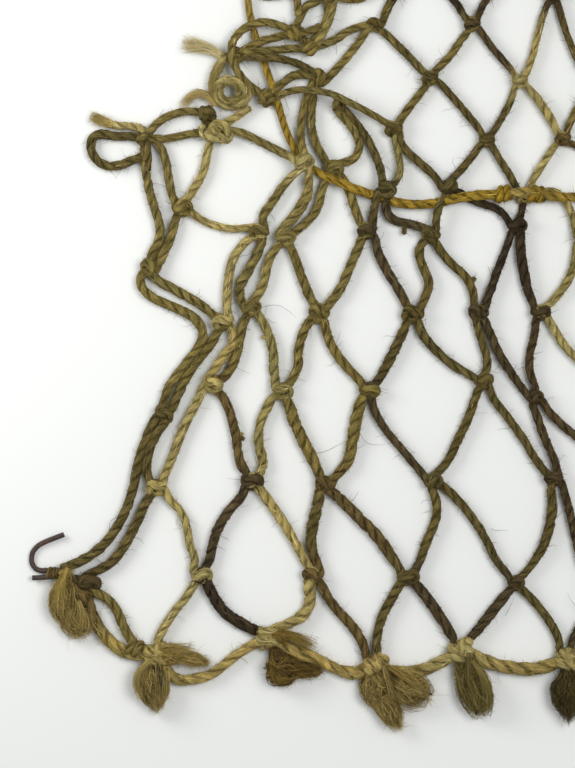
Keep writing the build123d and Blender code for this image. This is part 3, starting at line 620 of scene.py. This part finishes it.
def fuzz(piece, line, widths, tints, s, per_mm=FUZZ_PER_MM):
    """The short hairs that stand out of a jute twine, a few long ones, and those that lie."""
    count = int(s[-1] * per_mm)
    t, u, v = frames(line)
    i = rng.integers(1, len(s) - 1, count)
    phi = rng.uniform(0, 2 * pi, (count, 1))
    out = np.cos(phi) * u[i] + np.sin(phi) * v[i]
    starts = line[i] + out * (0.40 * widths[i])[:, None]
    lean = rng.normal(0, 0.8, (count, 1))
    ways = unit(out + lean * t[i] + 0.3 * rng.normal(size=(count, 3)))
    lengths = 0.5 + rng.gamma(1.2, 0.5, count)
    long = rng.random(count) < LONG_HAIRS
    lengths = np.where(long, rng.uniform(*LONG_HAIR_LENGTHS, count), lengths)
    shade = np.where(long, rng.uniform(0.3, 1.2, count), rng.uniform(0.9, 1.7, count))
    hairs(piece, starts, ways, lengths, rng.normal(0, 1.6, count),
          rng.uniform(0.045, 0.075, count), tints[i] * shade[:, None], 4)
    lying(piece, line, widths, tints, s)


def same(points, width, tone):
    """Equal width and tone for every control point."""
    return np.full(len(points), width), np.repeat(TONE[tone][None], len(points), 0)


def lay_twine(piece, points, widths, tints, lay_length=TWINE_LAY, per_mm=FUZZ_PER_MM):
    """A strand with its fuzz along control points."""
    values = np.concatenate([widths[:, None], tints], 1)
    line, values, s = evenly(smooth(points), values)
    strand(piece, line, values[:, 0], values[:, 1:], s, lay_length)
    fuzz(piece, line, values[:, 0], values[:, 1:], s, per_mm)


def lay_route(piece, route, width, tone, **options):
    """A strand of one width and tone along plan points."""
    points = [place(p) for p in route]
    lay_twine(piece, points, *same(points, width, tone), **options)


def add_stubs(piece, name):
    """The short stubs that stand out of a twine."""
    for route, width, tone in STUBS.get(name, []):
        lay_route(piece, route, width, tone, per_mm=5.0)


# ---------------------------------------------------------------- knots
# The way of the twine that forms the loop of a knot, of the one that winds round it, and of a
# twine that is hitched to the edge line, from below to above: across, up and height, in mm
# from the knot's middle.
LOOP = [(-1.4, -1.3, 1.8), (1.0, -1.5, 2.3), (2.3, -0.1, 2.7), (1.0, 1.4, 2.5), (-1.3, 1.3, 2.0)]
WIND = [(2.2, -1.7, 1.8), (0.1, -2.2, 1.6), (-2.1, -1.4, 2.2), (-2.5, 0.4, 3.3), (-1.4, 1.2, 4.4),
        (0.2, 0.5, 4.9), (1.5, -0.5, 4.6), (2.6, -0.5, 3.4), (2.2, 1.6, 2.2)]
HITCHED = [(0.0, -2.4, 2.4), (0.0, 0.4, 2.5), (0.0, 3.3, 2.4)]
HITCH_GAP = 1.3
CORE_RINGS, CORE_SIDES = 9, 12


def slim(spot):
    """How thin the twine is drawn out at a place in the plan."""
    at_right = np.interp(spot[0], (130, 165), (1, RIGHT_SLIMNESS))
    return np.interp(spot[1], (165, 215), SLIMNESS) * at_right


def core(piece, spot, size, tone):
    """A clump of fibre that fills the middle of a knot, drawn darker than its tone as painted shade."""
    lon = np.linspace(0.05, pi - 0.05, CORE_RINGS)[:, None]
    phi = np.linspace(0, 2 * pi, CORE_SIDES, endpoint=False)[None, :]
    rough = 1 + 0.1 * rng.normal(size=(CORE_RINGS, CORE_SIDES))
    rings = place(spot) + np.stack([
        size[0] * rough * np.sin(lon) * np.cos(phi), size[1] * rough * np.sin(lon) * np.sin(phi),
        -size[2] * rough * np.cos(lon)], -1)
    lay = np.stack([np.cos(phi) + 0 * lon, np.sin(phi) + 0 * lon, 0.4 * lon + 0 * phi], -1)
    # Painted shade: the knot's hidden middle is drawn darker than its tone.
    tint = TONE[tone] * rng.uniform(0.45, 0.75, (CORE_RINGS, CORE_SIDES, 1))
    piece.rings(rings, tint, lay)


def plan(stop):
    """The plan place of a knot's name or of a point."""
    return np.array((KNOTS[stop] if isinstance(stop, str) else stop)[:2], float)


def knots_on(twine):
    """The names of the knots that a mesh twine runs through, from the bottom up."""
    return [stop for stop in TWINES[twine] if isinstance(stop, str)]


def legs():
    """For each knot, its twines in order and the direction that is up through it."""
    found = {}
    for name, route in TWINES.items():
        for i, stop in enumerate(route):
            if not isinstance(stop, str):
                continue
            twines, up = found.setdefault(stop, ([], np.zeros(2)))
            twines.append(name)
            if i:
                up -= unit(plan(route[i - 1]) - plan(stop))
            if i + 1 < len(route):
                up += unit(plan(route[i + 1]) - plan(stop))
    return found


LEGS = legs()
MIRRORED = {name: bool(rng.integers(2)) for name in LEGS}
TILTED = {name: rng.normal(0, 0.22) for name in LEGS}


def through_knot(name, twine, first, last):
    """The control points of one twine inside a knot, in plan mm."""
    twines, up = LEGS[name]
    up = unit(up)
    right = np.array([up[1], -up[0]])
    c, s = cos(TILTED[name]), sin(TILTED[name])
    up, right = c * up + s * right, c * right - s * up
    raised = place(KNOTS[name])[2] - REST_HEIGHT
    on_left = twines[0] == twine
    if name.startswith("0"):
        side = -HITCH_GAP if on_left else HITCH_GAP
        local = [(side * (1 + 0.3 * k), y, z) for k, (_, y, z) in enumerate(HITCHED)]
    else:
        local = LOOP if on_left != MIRRORED[name] else WIND
        if MIRRORED[name]:
            local = [(-x, y, z) for x, y, z in local]
        if first:
            local = local[2:]
        if last:
            local = local[:-2]
    points = []
    scale = slim(KNOTS[name]) * rng.uniform(0.94, 1.06)
    for x, y, z in local:
        x, y = scale * x + rng.normal(0, 0.25), scale * y + rng.normal(0, 0.25)
        spot = np.array(KNOTS[name][:2]) + right * x + up * y
        points.append((*spot, z + raised))
    return points


def core_tone(stop):
    """The tone inside a knot: that of the twine which ties it."""
    twine = LEGS[stop][0][0]
    tones = TWINE_LOOKS[twine][2]
    return KNOT_TONES.get(stop, tones[min(knots_on(twine).index(stop), len(tones) - 1)])


def control(twine):
    """Control points of a mesh twine with the width and tone at each."""
    route = TWINES[twine]
    _, sizes, tones = TWINE_LOOKS[twine]
    stretch = 0
    points, widths, tints = [], [], []
    for i, stop in enumerate(route):
        tone = tones[stretch]
        if isinstance(stop, str):
            inside = through_knot(stop, twine, i == 0, i == len(route) - 1)
            width = IN_KNOT * TWINE_WIDTHS["m"]
            tone = KNOT_TONES.get(stop, tone)
            if i:
                stretch = min(stretch + 1, len(tones) - 1)
        else:
            inside, width = [stop], TWINE_WIDTHS[sizes[stretch]]
        points += inside
        widths += [width * slim(plan(stop))] * len(inside)
        tints += [TONE[tone]] * len(inside)
    return [place(p) for p in points], np.array(widths), np.array(tints)


def between_knots(route):
    """The places of a route that starts or ends in knots."""
    return [place((*KNOTS[p][:2], KNOT_HEIGHT) if isinstance(p, str) else p) for p in route]


def turns(centre, along, half_across, half_height, count, pitch, height, start=0.0):
    """Plan points of turns wound about a line in the plan: centre, its direction, half the
    turns' width and height, how many turns, how far apart, and the height of the middle."""
    along = unit(np.array(along, float))
    across = np.array([along[1], -along[0]])
    points = []
    for k in range(int(count * 8) + 1):
        angle = start + k * pi / 4
        shift = (k / 8 - count / 2) * pitch
        spot = np.array(centre) + along * shift + across * half_across * cos(angle)
        points.append((*spot, height + half_height * sin(angle)))
    return points


# ---------------------------------------------------------------- frayed ends
def lock(piece, centre, halves, turn, root, outer, heart, fibres):
    """One lock of frayed fibre: a soft heart, fibres that sweep over it from its root, and
    loose ones that stand out."""
    middle = place(centre)
    c, s = cos(radians(turn)), sin(radians(turn))
    axes = np.array([[c, s, 0], [-s, c, 0], [0, 0, 1]])
    if np.dot(place(root, middle[2]) - middle, axes[0]) > 0:
        axes[:2] *= -1
    a, b, d, e = rng.uniform(0, 6, 4)

    def onto(lon, phi, reach):
        """Places on the lock's uneven surface."""
        uneven = 1 + 0.08 * np.sin(2.6 * lon + a) + 0.10 * np.sin(2 * phi + b)
        uneven = uneven + 0.07 * np.sin(3 * phi - 2.2 * lon + d) + 0.05 * np.sin(5 * phi + e)
        reach = reach * uneven
        local = np.stack([
            -np.cos(lon) * halves[0] * reach,
            np.sin(lon) * np.cos(phi) * halves[1] * reach,
            np.sin(lon) * np.sin(phi) * halves[2] * reach,
        ], -1)
        return middle + local @ axes

    def column(*ends):
        """One random number for each fibre."""
        return rng.uniform(*ends, (fibres, 1))

    lon = np.linspace(0.04, pi - 0.04, LOCK_RINGS)[:, None]
    phi = np.linspace(0, 2 * pi, LOCK_SIDES, endpoint=False)[None, :]
    bumps = 0.76 + 0.08 * rng.normal(size=(LOCK_RINGS, LOCK_SIDES))
    rings = onto(lon + 0 * phi, phi + 0 * lon, bumps)
    # Painted shade: the heart under the fibres is drawn darker than its tone.
    shade = TONE[heart] * rng.uniform(0.45, 0.9, (LOCK_RINGS, LOCK_SIDES, 1))
    lay = np.stack([np.cos(phi) + 0 * lon, np.sin(phi) + 0 * lon, 0.35 * lon + 0 * phi], -1)
    piece.rings(rings, shade, lay)

    t = np.linspace(0, 1, 12)[None, :]
    begin = column(0.05, 1.0)
    end = np.minimum(begin + column(0.9, 2.7), pi + 0.2)
    lon = begin + (end - begin) * t
    phi = column(0, 2 * pi) + rng.normal(0, 1.0, (fibres, 1)) * t
    phi = phi + column(0, 0.4) * np.sin(t * column(4, 15) + column(0, 6))
    depth = column(0.70, 1.05)
    reach = depth + column(0, 0.15) * np.sin(t * column(4, 14) + column(0, 6))
    line = onto(lon, phi, reach)
    rooted = np.clip(1 - t / 0.3, 0, 1)[..., None] * (rng.random((fibres, 1, 1)) < 0.5)
    start = place(root, 3.0) + rng.normal(0, 0.9, (fibres, 1, 3))
    line = line * (1 - rooted) + start * rooted
    lift(line, 0.15)
    patch = 0.5 + 0.5 * np.sin(2.0 * phi[:, 0] + a) * np.cos(1.3 * begin[:, 0] + b)
    mix = np.clip(0.2 + 0.8 * patch + rng.normal(0, 0.25, fibres), 0, 1)[:, None]
    tint = TONE[outer] * mix + TONE[heart] * (1 - mix)
    # Painted shade: fibres that lie deeper in the lock are drawn darker.
    tint = tint * column(0.6, 1.5) * np.clip((depth - 0.45) * 1.9, 0.5, 1.1)
    thread(piece, line, rng.uniform(0.07, 0.14, fibres), tint)

    count = int(fibres * 0.9)
    lon = rng.uniform(0.3, pi, count)
    phi = rng.uniform(0, 2 * pi, count)
    starts = onto(lon, phi, np.full(count, 0.9))
    ways = unit(unit(starts - middle) + 0.5 * axes[0] + 0.8 * rng.normal(size=(count, 3)))
    tint = TONE[outer] * rng.uniform(0.5, 1.5, (count, 1))
    hairs(piece, starts, ways, 0.8 + rng.gamma(1.4, 0.8, count), rng.normal(0, 2.2, count),
          rng.uniform(0.035, 0.065, count), tint, 5)


def brush(piece, route, spread, tone, tip_tone, fibres, narrow=0.9):
    """A frayed end that opens like a brush along a route: narrow and spread are its half width
    at the root and at the tip, and tip_tone is the tone of its longest fibres."""
    line, _, _ = evenly(smooth([place(p) for p in route]), np.zeros((2, 1)), 1.4)
    t, u, v = frames(line)
    n = len(line)
    share = np.linspace(0, 1, n)[None, :]
    angle = rng.uniform(0, 2 * pi, (fibres, 1))
    far = np.sqrt(rng.uniform(0, 1, (fibres, 1))) * rng.uniform(0.7, 1.2, (fibres, 1))
    wide = narrow + (spread - narrow) * share ** 1.4
    wave = rng.uniform(0, 0.9, (fibres, 1)) * np.sin(
        share * rng.uniform(3, 14, (fibres, 1)) + rng.uniform(0, 6, (fibres, 1)))
    reach = far * wide + wave * share
    angle = angle + rng.normal(0, 0.9, (fibres, 1)) * share
    flat = np.abs(v[:, 2])[None, :] * 0.45 + 0.35
    way_u = (reach * np.cos(angle))[..., None] * u[None]
    way_v = (reach * np.sin(angle))[..., None] * v[None]
    lines = line[None] + way_u + way_v
    lines[..., 2] = line[None, :, 2] + (lines[..., 2] - line[None, :, 2]) * flat
    ends = rng.uniform(0.25, 1.0, fibres) ** 0.6
    at = share * ends[:, None] * (n - 1)
    i = np.minimum(at.astype(int), n - 2)
    f = (at - i)[..., None]
    rows = np.arange(fibres)[:, None]
    lines = lines[rows, i] * (1 - f) + lines[rows, i + 1] * f
    lift(lines, 0.12)
    tint = TONE[tone] * rng.uniform(0.6, 1.45, (fibres, 1))
    tips = TONE[tip_tone] * rng.uniform(0.8, 1.3, (fibres, 1))
    tint = np.where(ends[:, None] > 0.86, tips, tint)
    thread(piece, lines, rng.uniform(0.05, 0.10, fibres), tint)
    pick = rng.integers(0, fibres, fibres)
    at = rng.integers(2, n, fibres)
    starts = lines[pick, at]
    ways = unit(t[at] * 0.7 + rng.normal(size=(fibres, 3)))
    hairs(piece, starts, ways, rng.uniform(0.8, 3.2, fibres), rng.normal(0, 2.4, fibres),
          rng.uniform(0.03, 0.055, fibres), tint[pick], 5)


# ---------------------------------------------------------------- materials
def feed(tree, node, inputs):
    """Give a node its inputs, by name or number: each is a value or the socket it comes from."""
    for name, value in inputs.items():
        if isinstance(value, bpy.types.NodeSocket):
            tree.links.new(value, node.inputs[name])
        else:
            node.inputs[name].default_value = value


def add(tree, kind, inputs=None, **settings):
    """A new shader node with its settings and inputs."""
    node = tree.nodes.new("ShaderNode" + kind)
    for name, value in settings.items():
        setattr(node, name, value)
    feed(tree, node, inputs or {})
    return node


def paint(name):
    """A new material, its node tree and its main shader."""
    material = bpy.data.materials.new(name)
    material.use_nodes = True
    tree = material.node_tree
    return material, tree, next(n for n in tree.nodes if n.type == "BSDF_PRINCIPLED")


def noise(tree, vector, scale, detail, rough=0.55):
    inputs = {"Scale": scale, "Detail": detail, "Roughness": rough, "Vector": vector}
    return add(tree, "TexNoise", inputs).outputs["Fac"]


def remap(tree, value, low, high, to_low, to_high):
    inputs = {"From Min": low, "From Max": high, "To Min": to_low, "To Max": to_high,
              "Value": value}
    return add(tree, "MapRange", inputs).outputs["Result"]


def bumped(tree, height, strength, distance):
    inputs = {"Strength": strength, "Distance": distance, "Height": height}
    return add(tree, "Bump", inputs).outputs["Normal"]


def jute(name, rough, contrast, fleck):
    """Jute: streaks that follow the fibres, pale and dark flecks, and a fibrous bump."""
    material, tree, shader = paint(name)
    tint = add(tree, "Attribute", attribute_name="tint").outputs["Color"]
    lay = add(tree, "Attribute", attribute_name="lay").outputs["Vector"]
    streak = noise(tree, lay, 2.3, 3.0, 0.68)
    fine = noise(tree, lay, 9.0, 2.0)
    spots = noise(tree, lay, 1.7, 1.0)
    light = remap(tree, streak, 0.32, 0.68, 1 - contrast, 1 + contrast)
    hairline = remap(tree, fine, 0.35, 0.65, 0.86, 1.14)
    both = add(tree, "Math", {0: light, 1: hairline}, operation="MULTIPLY").outputs[0]
    lit = add(tree, "VectorMath", {0: tint, "Scale": both}, operation="SCALE").outputs["Vector"]
    flecks = remap(tree, spots, 0.60, 0.74, 0.0, 0.35)
    mix = add(tree, "Mix", {"A": lit, "B": (*linear(fleck), 1), "Factor": flecks},
              data_type="RGBA")
    height = add(tree, "Math", {0: streak, 1: fine}, operation="ADD").outputs[0]
    feed(tree, shader, {
        "Base Color": mix.outputs["Result"],
        "Normal": bumped(tree, height, 0.75, 0.00035),
        "Roughness": rough,
        "Specular IOR Level": 0.16,
    })
    return material


def rust(name):
    """Rusty wire: dark brown scale with orange bloom."""
    material, tree, shader = paint(name)
    where = add(tree, "TexCoord").outputs["Object"]
    broad = noise(tree, where, 420, 4)
    grain = noise(tree, where, 2600, 3)
    shifted = remap(tree, broad, 0, 1, -0.17, 0.83)
    both = add(tree, "Math", {0: grain, 1: 0.35, 2: shifted}, operation="MULTIPLY_ADD")
    ramp = add(tree, "ValToRGB", {"Fac": both.outputs[0]})
    scale, bloom = ramp.color_ramp.elements
    scale.position, scale.color = 0.34, (*linear((58, 50, 48)), 1)
    bloom.position, bloom.color = 0.80, (*linear((130, 84, 52)), 1)
    ramp.color_ramp.elements.new(0.58).color = (*linear((82, 66, 60)), 1)
    feed(tree, shader, {
        "Base Color": ramp.outputs["Color"],
        "Roughness": remap(tree, broad, 0.3, 0.7, 0.48, 0.85),
        "Normal": bumped(tree, grain, 0.6, 0.0002),
        "Metallic": 0.45,
    })
    return material


# Slot: roughness, contrast of the streaks and sRGB colour of the flecks.
JUTE = {slot: jute(slot, *look) for slot, look in {
    "jute_olive": (0.86, 0.50, (150, 138, 92)),
    "jute_tan": (0.88, 0.42, (186, 174, 126)),
    "jute_dark": (0.84, 0.55, (112, 94, 62)),
    "jute_straw": (0.88, 0.42, (190, 174, 118)),
    "jute_ochre": (0.80, 0.42, (150, 126, 44)),
}.items()}
RUST = rust("rusty_wire")

# ---------------------------------------------------------------- camera, floor and light
scene = bpy.context.scene
camera_data = bpy.data.cameras.new("camera")
camera_data.sensor_width = SENSOR
camera_data.lens = SENSOR * VIEW_DISTANCE / (VIEW_HEIGHT * MM)
camera_data.clip_start = 0.01
camera = bpy.data.objects.new("camera", camera_data)
scene.collection.objects.link(camera)
look_at = place((*VIEW_CENTRE, 0)) * MM
camera.location = (look_at[0], look_at[1], VIEW_DISTANCE)
scene.camera = camera
scene.view_settings.view_transform = "Standard"

floor_mesh = bpy.data.meshes.new("floor")
corners = [(-1, -1), (1, -1), (1, 1), (-1, 1)]
floor_mesh.from_pydata([(x * FLOOR_REACH, y * FLOOR_REACH, 0) for x, y in corners], [],
                       [(0, 1, 2, 3)])
floor = bpy.data.objects.new("floor", floor_mesh)
scene.collection.objects.link(floor)
floor_paint, floor_tree, floor_shader = paint("pale_floor")
feed(floor_tree, floor_shader, {
    "Base Color": (0.86, 0.875, 0.86, 1), "Roughness": 0.65, "Specular IOR Level": 0.2,
})
floor_mesh.materials.append(floor_paint)

world = bpy.data.worlds.new("studio")
world.use_nodes = True
feed(world.node_tree, world.node_tree.nodes["Background"], {
    "Color": (0.97, 0.985, 1.0, 1), "Strength": 0.40,
})
scene.world = world


def softbox(name, spot, target, size, power):
    """A round soft lamp at a spot, in metres, that shines at its target."""
    data = bpy.data.lights.new(name, "AREA")
    data.shape = "DISK"
    data.size = size
    data.energy = power
    data.color = (1.0, 0.99, 0.97)
    lamp = bpy.data.objects.new(name, data)
    scene.collection.objects.link(lamp)
    lamp.location = spot
    lamp.visible_camera = False
    aim = np.array(target, float) - np.array(spot, float)
    lamp.rotation_euler = Vector(aim).to_track_quat("-Z", "Y").to_euler()


softbox("key", (-0.331, 0.12, 0.22), (-0.16, 0.05, 0), 0.22, 0.74)
softbox("fill", (0.42, 0.14, 1.0), (0, 0, 0), 0.6, 6.0)

# ---------------------------------------------------------------- the draw cord and its knots
draw_cord = Piece("draw_cord_strands", "net", "jute_ochre", ["draw_cord"])
cord_line = smooth([place(p) for p in DRAW_CORD])
cord_x, cord_y = np.array([p[:2] for p in DRAW_CORD], float).T
cord_width = DRAW_CORD_DIAMETER * np.interp(cord_x, (95, 115, 160), (0.72, 0.92, 0.98))
pale = np.interp(cord_x, (167, 170, 176, 180), (0.1, 0.8, 0.8, 0.3))[:, None]
pale = pale + np.interp(cord_y, (240, 265), (0, 0.55))[:, None]
cord_tint = TONE["y"] * (1 - pale) + TONE["s"] * pale
values = np.concatenate([cord_width[:, None], cord_tint], 1)
even_line, even_values, even_s = evenly(cord_line, values)
cord_run = (even_line, even_values[:, 0], even_values[:, 1:], even_s)
strand(draw_cord, *cord_run, 9.0)
draw_cord_piece = draw_cord.build()
cord_fuzz = Piece("draw_cord_fuzz", "net", "jute_ochre")
fuzz(cord_fuzz, *cord_run, 1.3)
on_cord = [cord_fuzz.build()]

# The cord's knots: place, direction and tone.
CORD_KNOTS = {
    "draw_cord_hitch_left": ((167.5, 192.4), (1, 0.15), "y"),
    "draw_cord_hitch_right": ((178.5, 192.2), (1, -0.1), "y"),
    "draw_cord_end_top": ((88.6, 279), (-0.5, 1), "s"),
    "draw_cord_end_side": ((221.5, 179), (1, -0.5), "y"),
}
for knot_name, (spot, along, tone) in CORD_KNOTS.items():
    knot = Piece(knot_name + "_turns", "net", "jute_ochre", [knot_name])
    wound = turns(spot, along, 1.9, 1.75, 2.25, 2.2, 3.3, -pi / 2)
    lay_route(knot, wound, 2.3, tone, lay_length=7.0)
    on_cord.append(knot.build())

# ---------------------------------------------------------------- mesh twines
for twine, (slot, _, _) in TWINE_LOOKS.items():
    piece = Piece(twine + "_jute", "net", slot, [twine])
    lay_twine(piece, *control(twine))
    for stop in knots_on(twine):
        if LEGS[stop][0][0] == twine and stop[0] != "0":
            size = 2.1 * slim(KNOTS[stop])
            height = place(KNOTS[stop])[2] + 0.6
            core(piece, (*KNOTS[stop][:2], height), (size, size * 0.85, 1.7), core_tone(stop))
    add_stubs(piece, twine)
    for route in THREADS.get(twine, []):
        loose, _, _ = evenly(smooth([place(p) for p in route]), np.zeros((2, 1)), 1.0)
        thread(piece, loose[None], 0.075, TONE["v"][None] * 0.8)
    piece.build()

# ---------------------------------------------------------------- gathered twine
for name, (tones, knots, routes) in GATHERED.items():
    piece = Piece(name + "_jute", "net", "jute_olive", [name])
    for route, tone in zip(routes, tones):
        points = between_knots(route)
        lay_twine(piece, points, *same(points, GATHERED_TWINE, tone))
    add_stubs(piece, name)
    for stop in knots:
        angle = rng.uniform(0, pi)
        wound = turns(KNOTS[stop][:2], (cos(angle), sin(angle)), 1.8, 1.6, 2.2, 1.9, 3.0)
        tone = KNOT_TONES.get(stop, tones[0])
        lay_route(piece, wound, 2.3, tone)
        core(piece, (*KNOTS[stop][:2], 3.0), (2.2, 1.9, 1.7), tone)
    piece.build()

spare = Piece("spare_coil_jute", "net", "jute_tan", ["spare_coil"])
lay_route(spare, SPARE_COIL, 3.1, "t", lay_length=14.0, per_mm=16.0)
lay_route(spare, INNER_COIL, 2.5, "l", lay_length=12.0, per_mm=14.0)
for route, spread, fibres in WISPS["spare_coil"]:
    brush(spare, route, spread, "t", "s", fibres)
spare.build()

# ---------------------------------------------------------------- edge line and its hitches
edge = Piece("edge_line_jute", "net", "jute_straw", ["edge_line"])
points = between_knots([(23.8, 62.2, 1.9), (26.4, 60.4, 2.1), *EDGE_LINE])
edge_width, edge_tint = same(points, EDGE_LINE_DIAMETER * EDGE_LINE_LOOSENESS, "s")
edge_x = [p[0] + PLAN_CENTRE[0] for p in points]
edge_width = edge_width * np.interp(edge_x, (40, 56, 78, 92), (0.95, 0.76, 0.8, 1))
edge_width = edge_width * (1 + 0.10 * rng.normal(size=len(points)))
edge_tint[:5] = [TONE[tone] for tone in "bbboh"]
edge_tint = edge_tint * (1 + 0.12 * rng.normal(size=(len(points), 1)))
lay_twine(edge, points, edge_width, edge_tint, lay_length=13.0, per_mm=14.0)
edge.build()

HITCH_FLUFF = {"edge_hitch_1": ("k", "p"), "edge_hitch_2": ("w", "w")}  # of its lumps and wisps
for number, (letter, tone) in enumerate(zip("abcdefg", "ststtss"), 1):
    spot = KNOTS["0" + letter][:2]
    name = f"edge_hitch_{number}"
    hitch = Piece(name + "_turns", "net", "jute_straw", [name])
    lean = rng.normal(0, 0.15)
    wound = turns(spot, (lean, 1), 3.1, 1.9, 2.1, 2.7, 3.1, rng.uniform(0, pi))
    lay_route(hitch, wound, 3.2, tone, per_mm=12)
    lay_route(hitch, turns(spot, (1, 0.3), 2.4, 2.0, 1.2, 2.0, 3.2, pi), 2.8, tone, per_mm=12)
    if number == 1:
        joined = turns((45, 41.2), (1, -0.35), 2.3, 1.9, 2.0, 2.4, 2.9)
        lay_route(hitch, joined, 2.4, "o", per_mm=12)
    for centre, halves, turn in PUFFS.get(name, []):
        lock(hitch, centre, halves, turn, spot, HITCH_FLUFF[name][0], "w", 330)
    for route, spread, fibres in WISPS.get(name, []):
        brush(hitch, route, spread, HITCH_FLUFF[name][1], "h", fibres)
    hitch.build()

# ---------------------------------------------------------------- frayed ends
for name, (slot, outer, heart, root, lobes) in TUFTS.items():
    tuft = Piece(name + "_fibres", None, slot, [name])
    for centre, halves, turn in lobes:
        fibres = int(LOCK_FIBRES / len(lobes) ** 0.4)
        lock(tuft, centre, halves, turn, root, outer, heart, fibres)
        towards = unit(np.array(centre[:2]) - root)
        neck = [(*root, 4.0), (*(root + 3.0 * towards), 5.0), (*(root + 6.5 * towards), centre[2])]
        brush(tuft, neck, min(halves[1], 2.6), heart, outer, 130, 1.3)
    for route, spread, fibres, *tone in WISPS.get(name, []):
        brush(tuft, route, spread, tone[0] if tone else heart, outer, fibres)
    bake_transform(tuft.build())
for name, (slot, tone, tip_tone, routes) in FRAYED_ENDS.items():
    tuft = Piece(name + "_fibres", None, slot, [name])
    for route, spread, fibres in routes:
        brush(tuft, route, spread, tone, tip_tone, fibres)
    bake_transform(tuft.build())

# ---------------------------------------------------------------- ear and hook
ear = Piece("ear_loop_jute", None, "jute_olive", ["ear_loop"])
ear_route = [(48.5, 211), *EAR_LOOP, (46.4, 204.4), (49.4, 205.4, 1.6)]
lay_route(ear, ear_route, 2.9, "g", per_mm=5.0)
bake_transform(ear.build())
ear_tail = Piece("ear_loop_tail_jute", None, "jute_tan", ["ear_loop_tail"])
lay_route(ear_tail, [(49.4, 212.4, 3.4), (46.4, 214.4, 2.8), *EAR_TAIL], 2.6, "t", per_mm=9.0)
tail_end = [(37.4, 215.3, 2.6), (35, 216.2, 2.6), (32.6, 217.3, 2.5), (29.8, 218.2, 2.4)]
brush(ear_tail, tail_end, 2.0, "k", "t", 300, 1.3)
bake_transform(ear_tail.build())
lashing = Piece("hook_lashing_turns", "hook", "jute_dark", ["hook_lashing"])
wound = turns(HOOK_PIVOT, (1, 0), 1.45, 1.25, 2.6, 1.35, 2.3)
lay_route(lashing, wound, 1.6, "b", lay_length=5.0)
lashing.build()
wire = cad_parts["wire_hook"]
wire.data.materials.clear()
wire.data.materials.append(RUST)
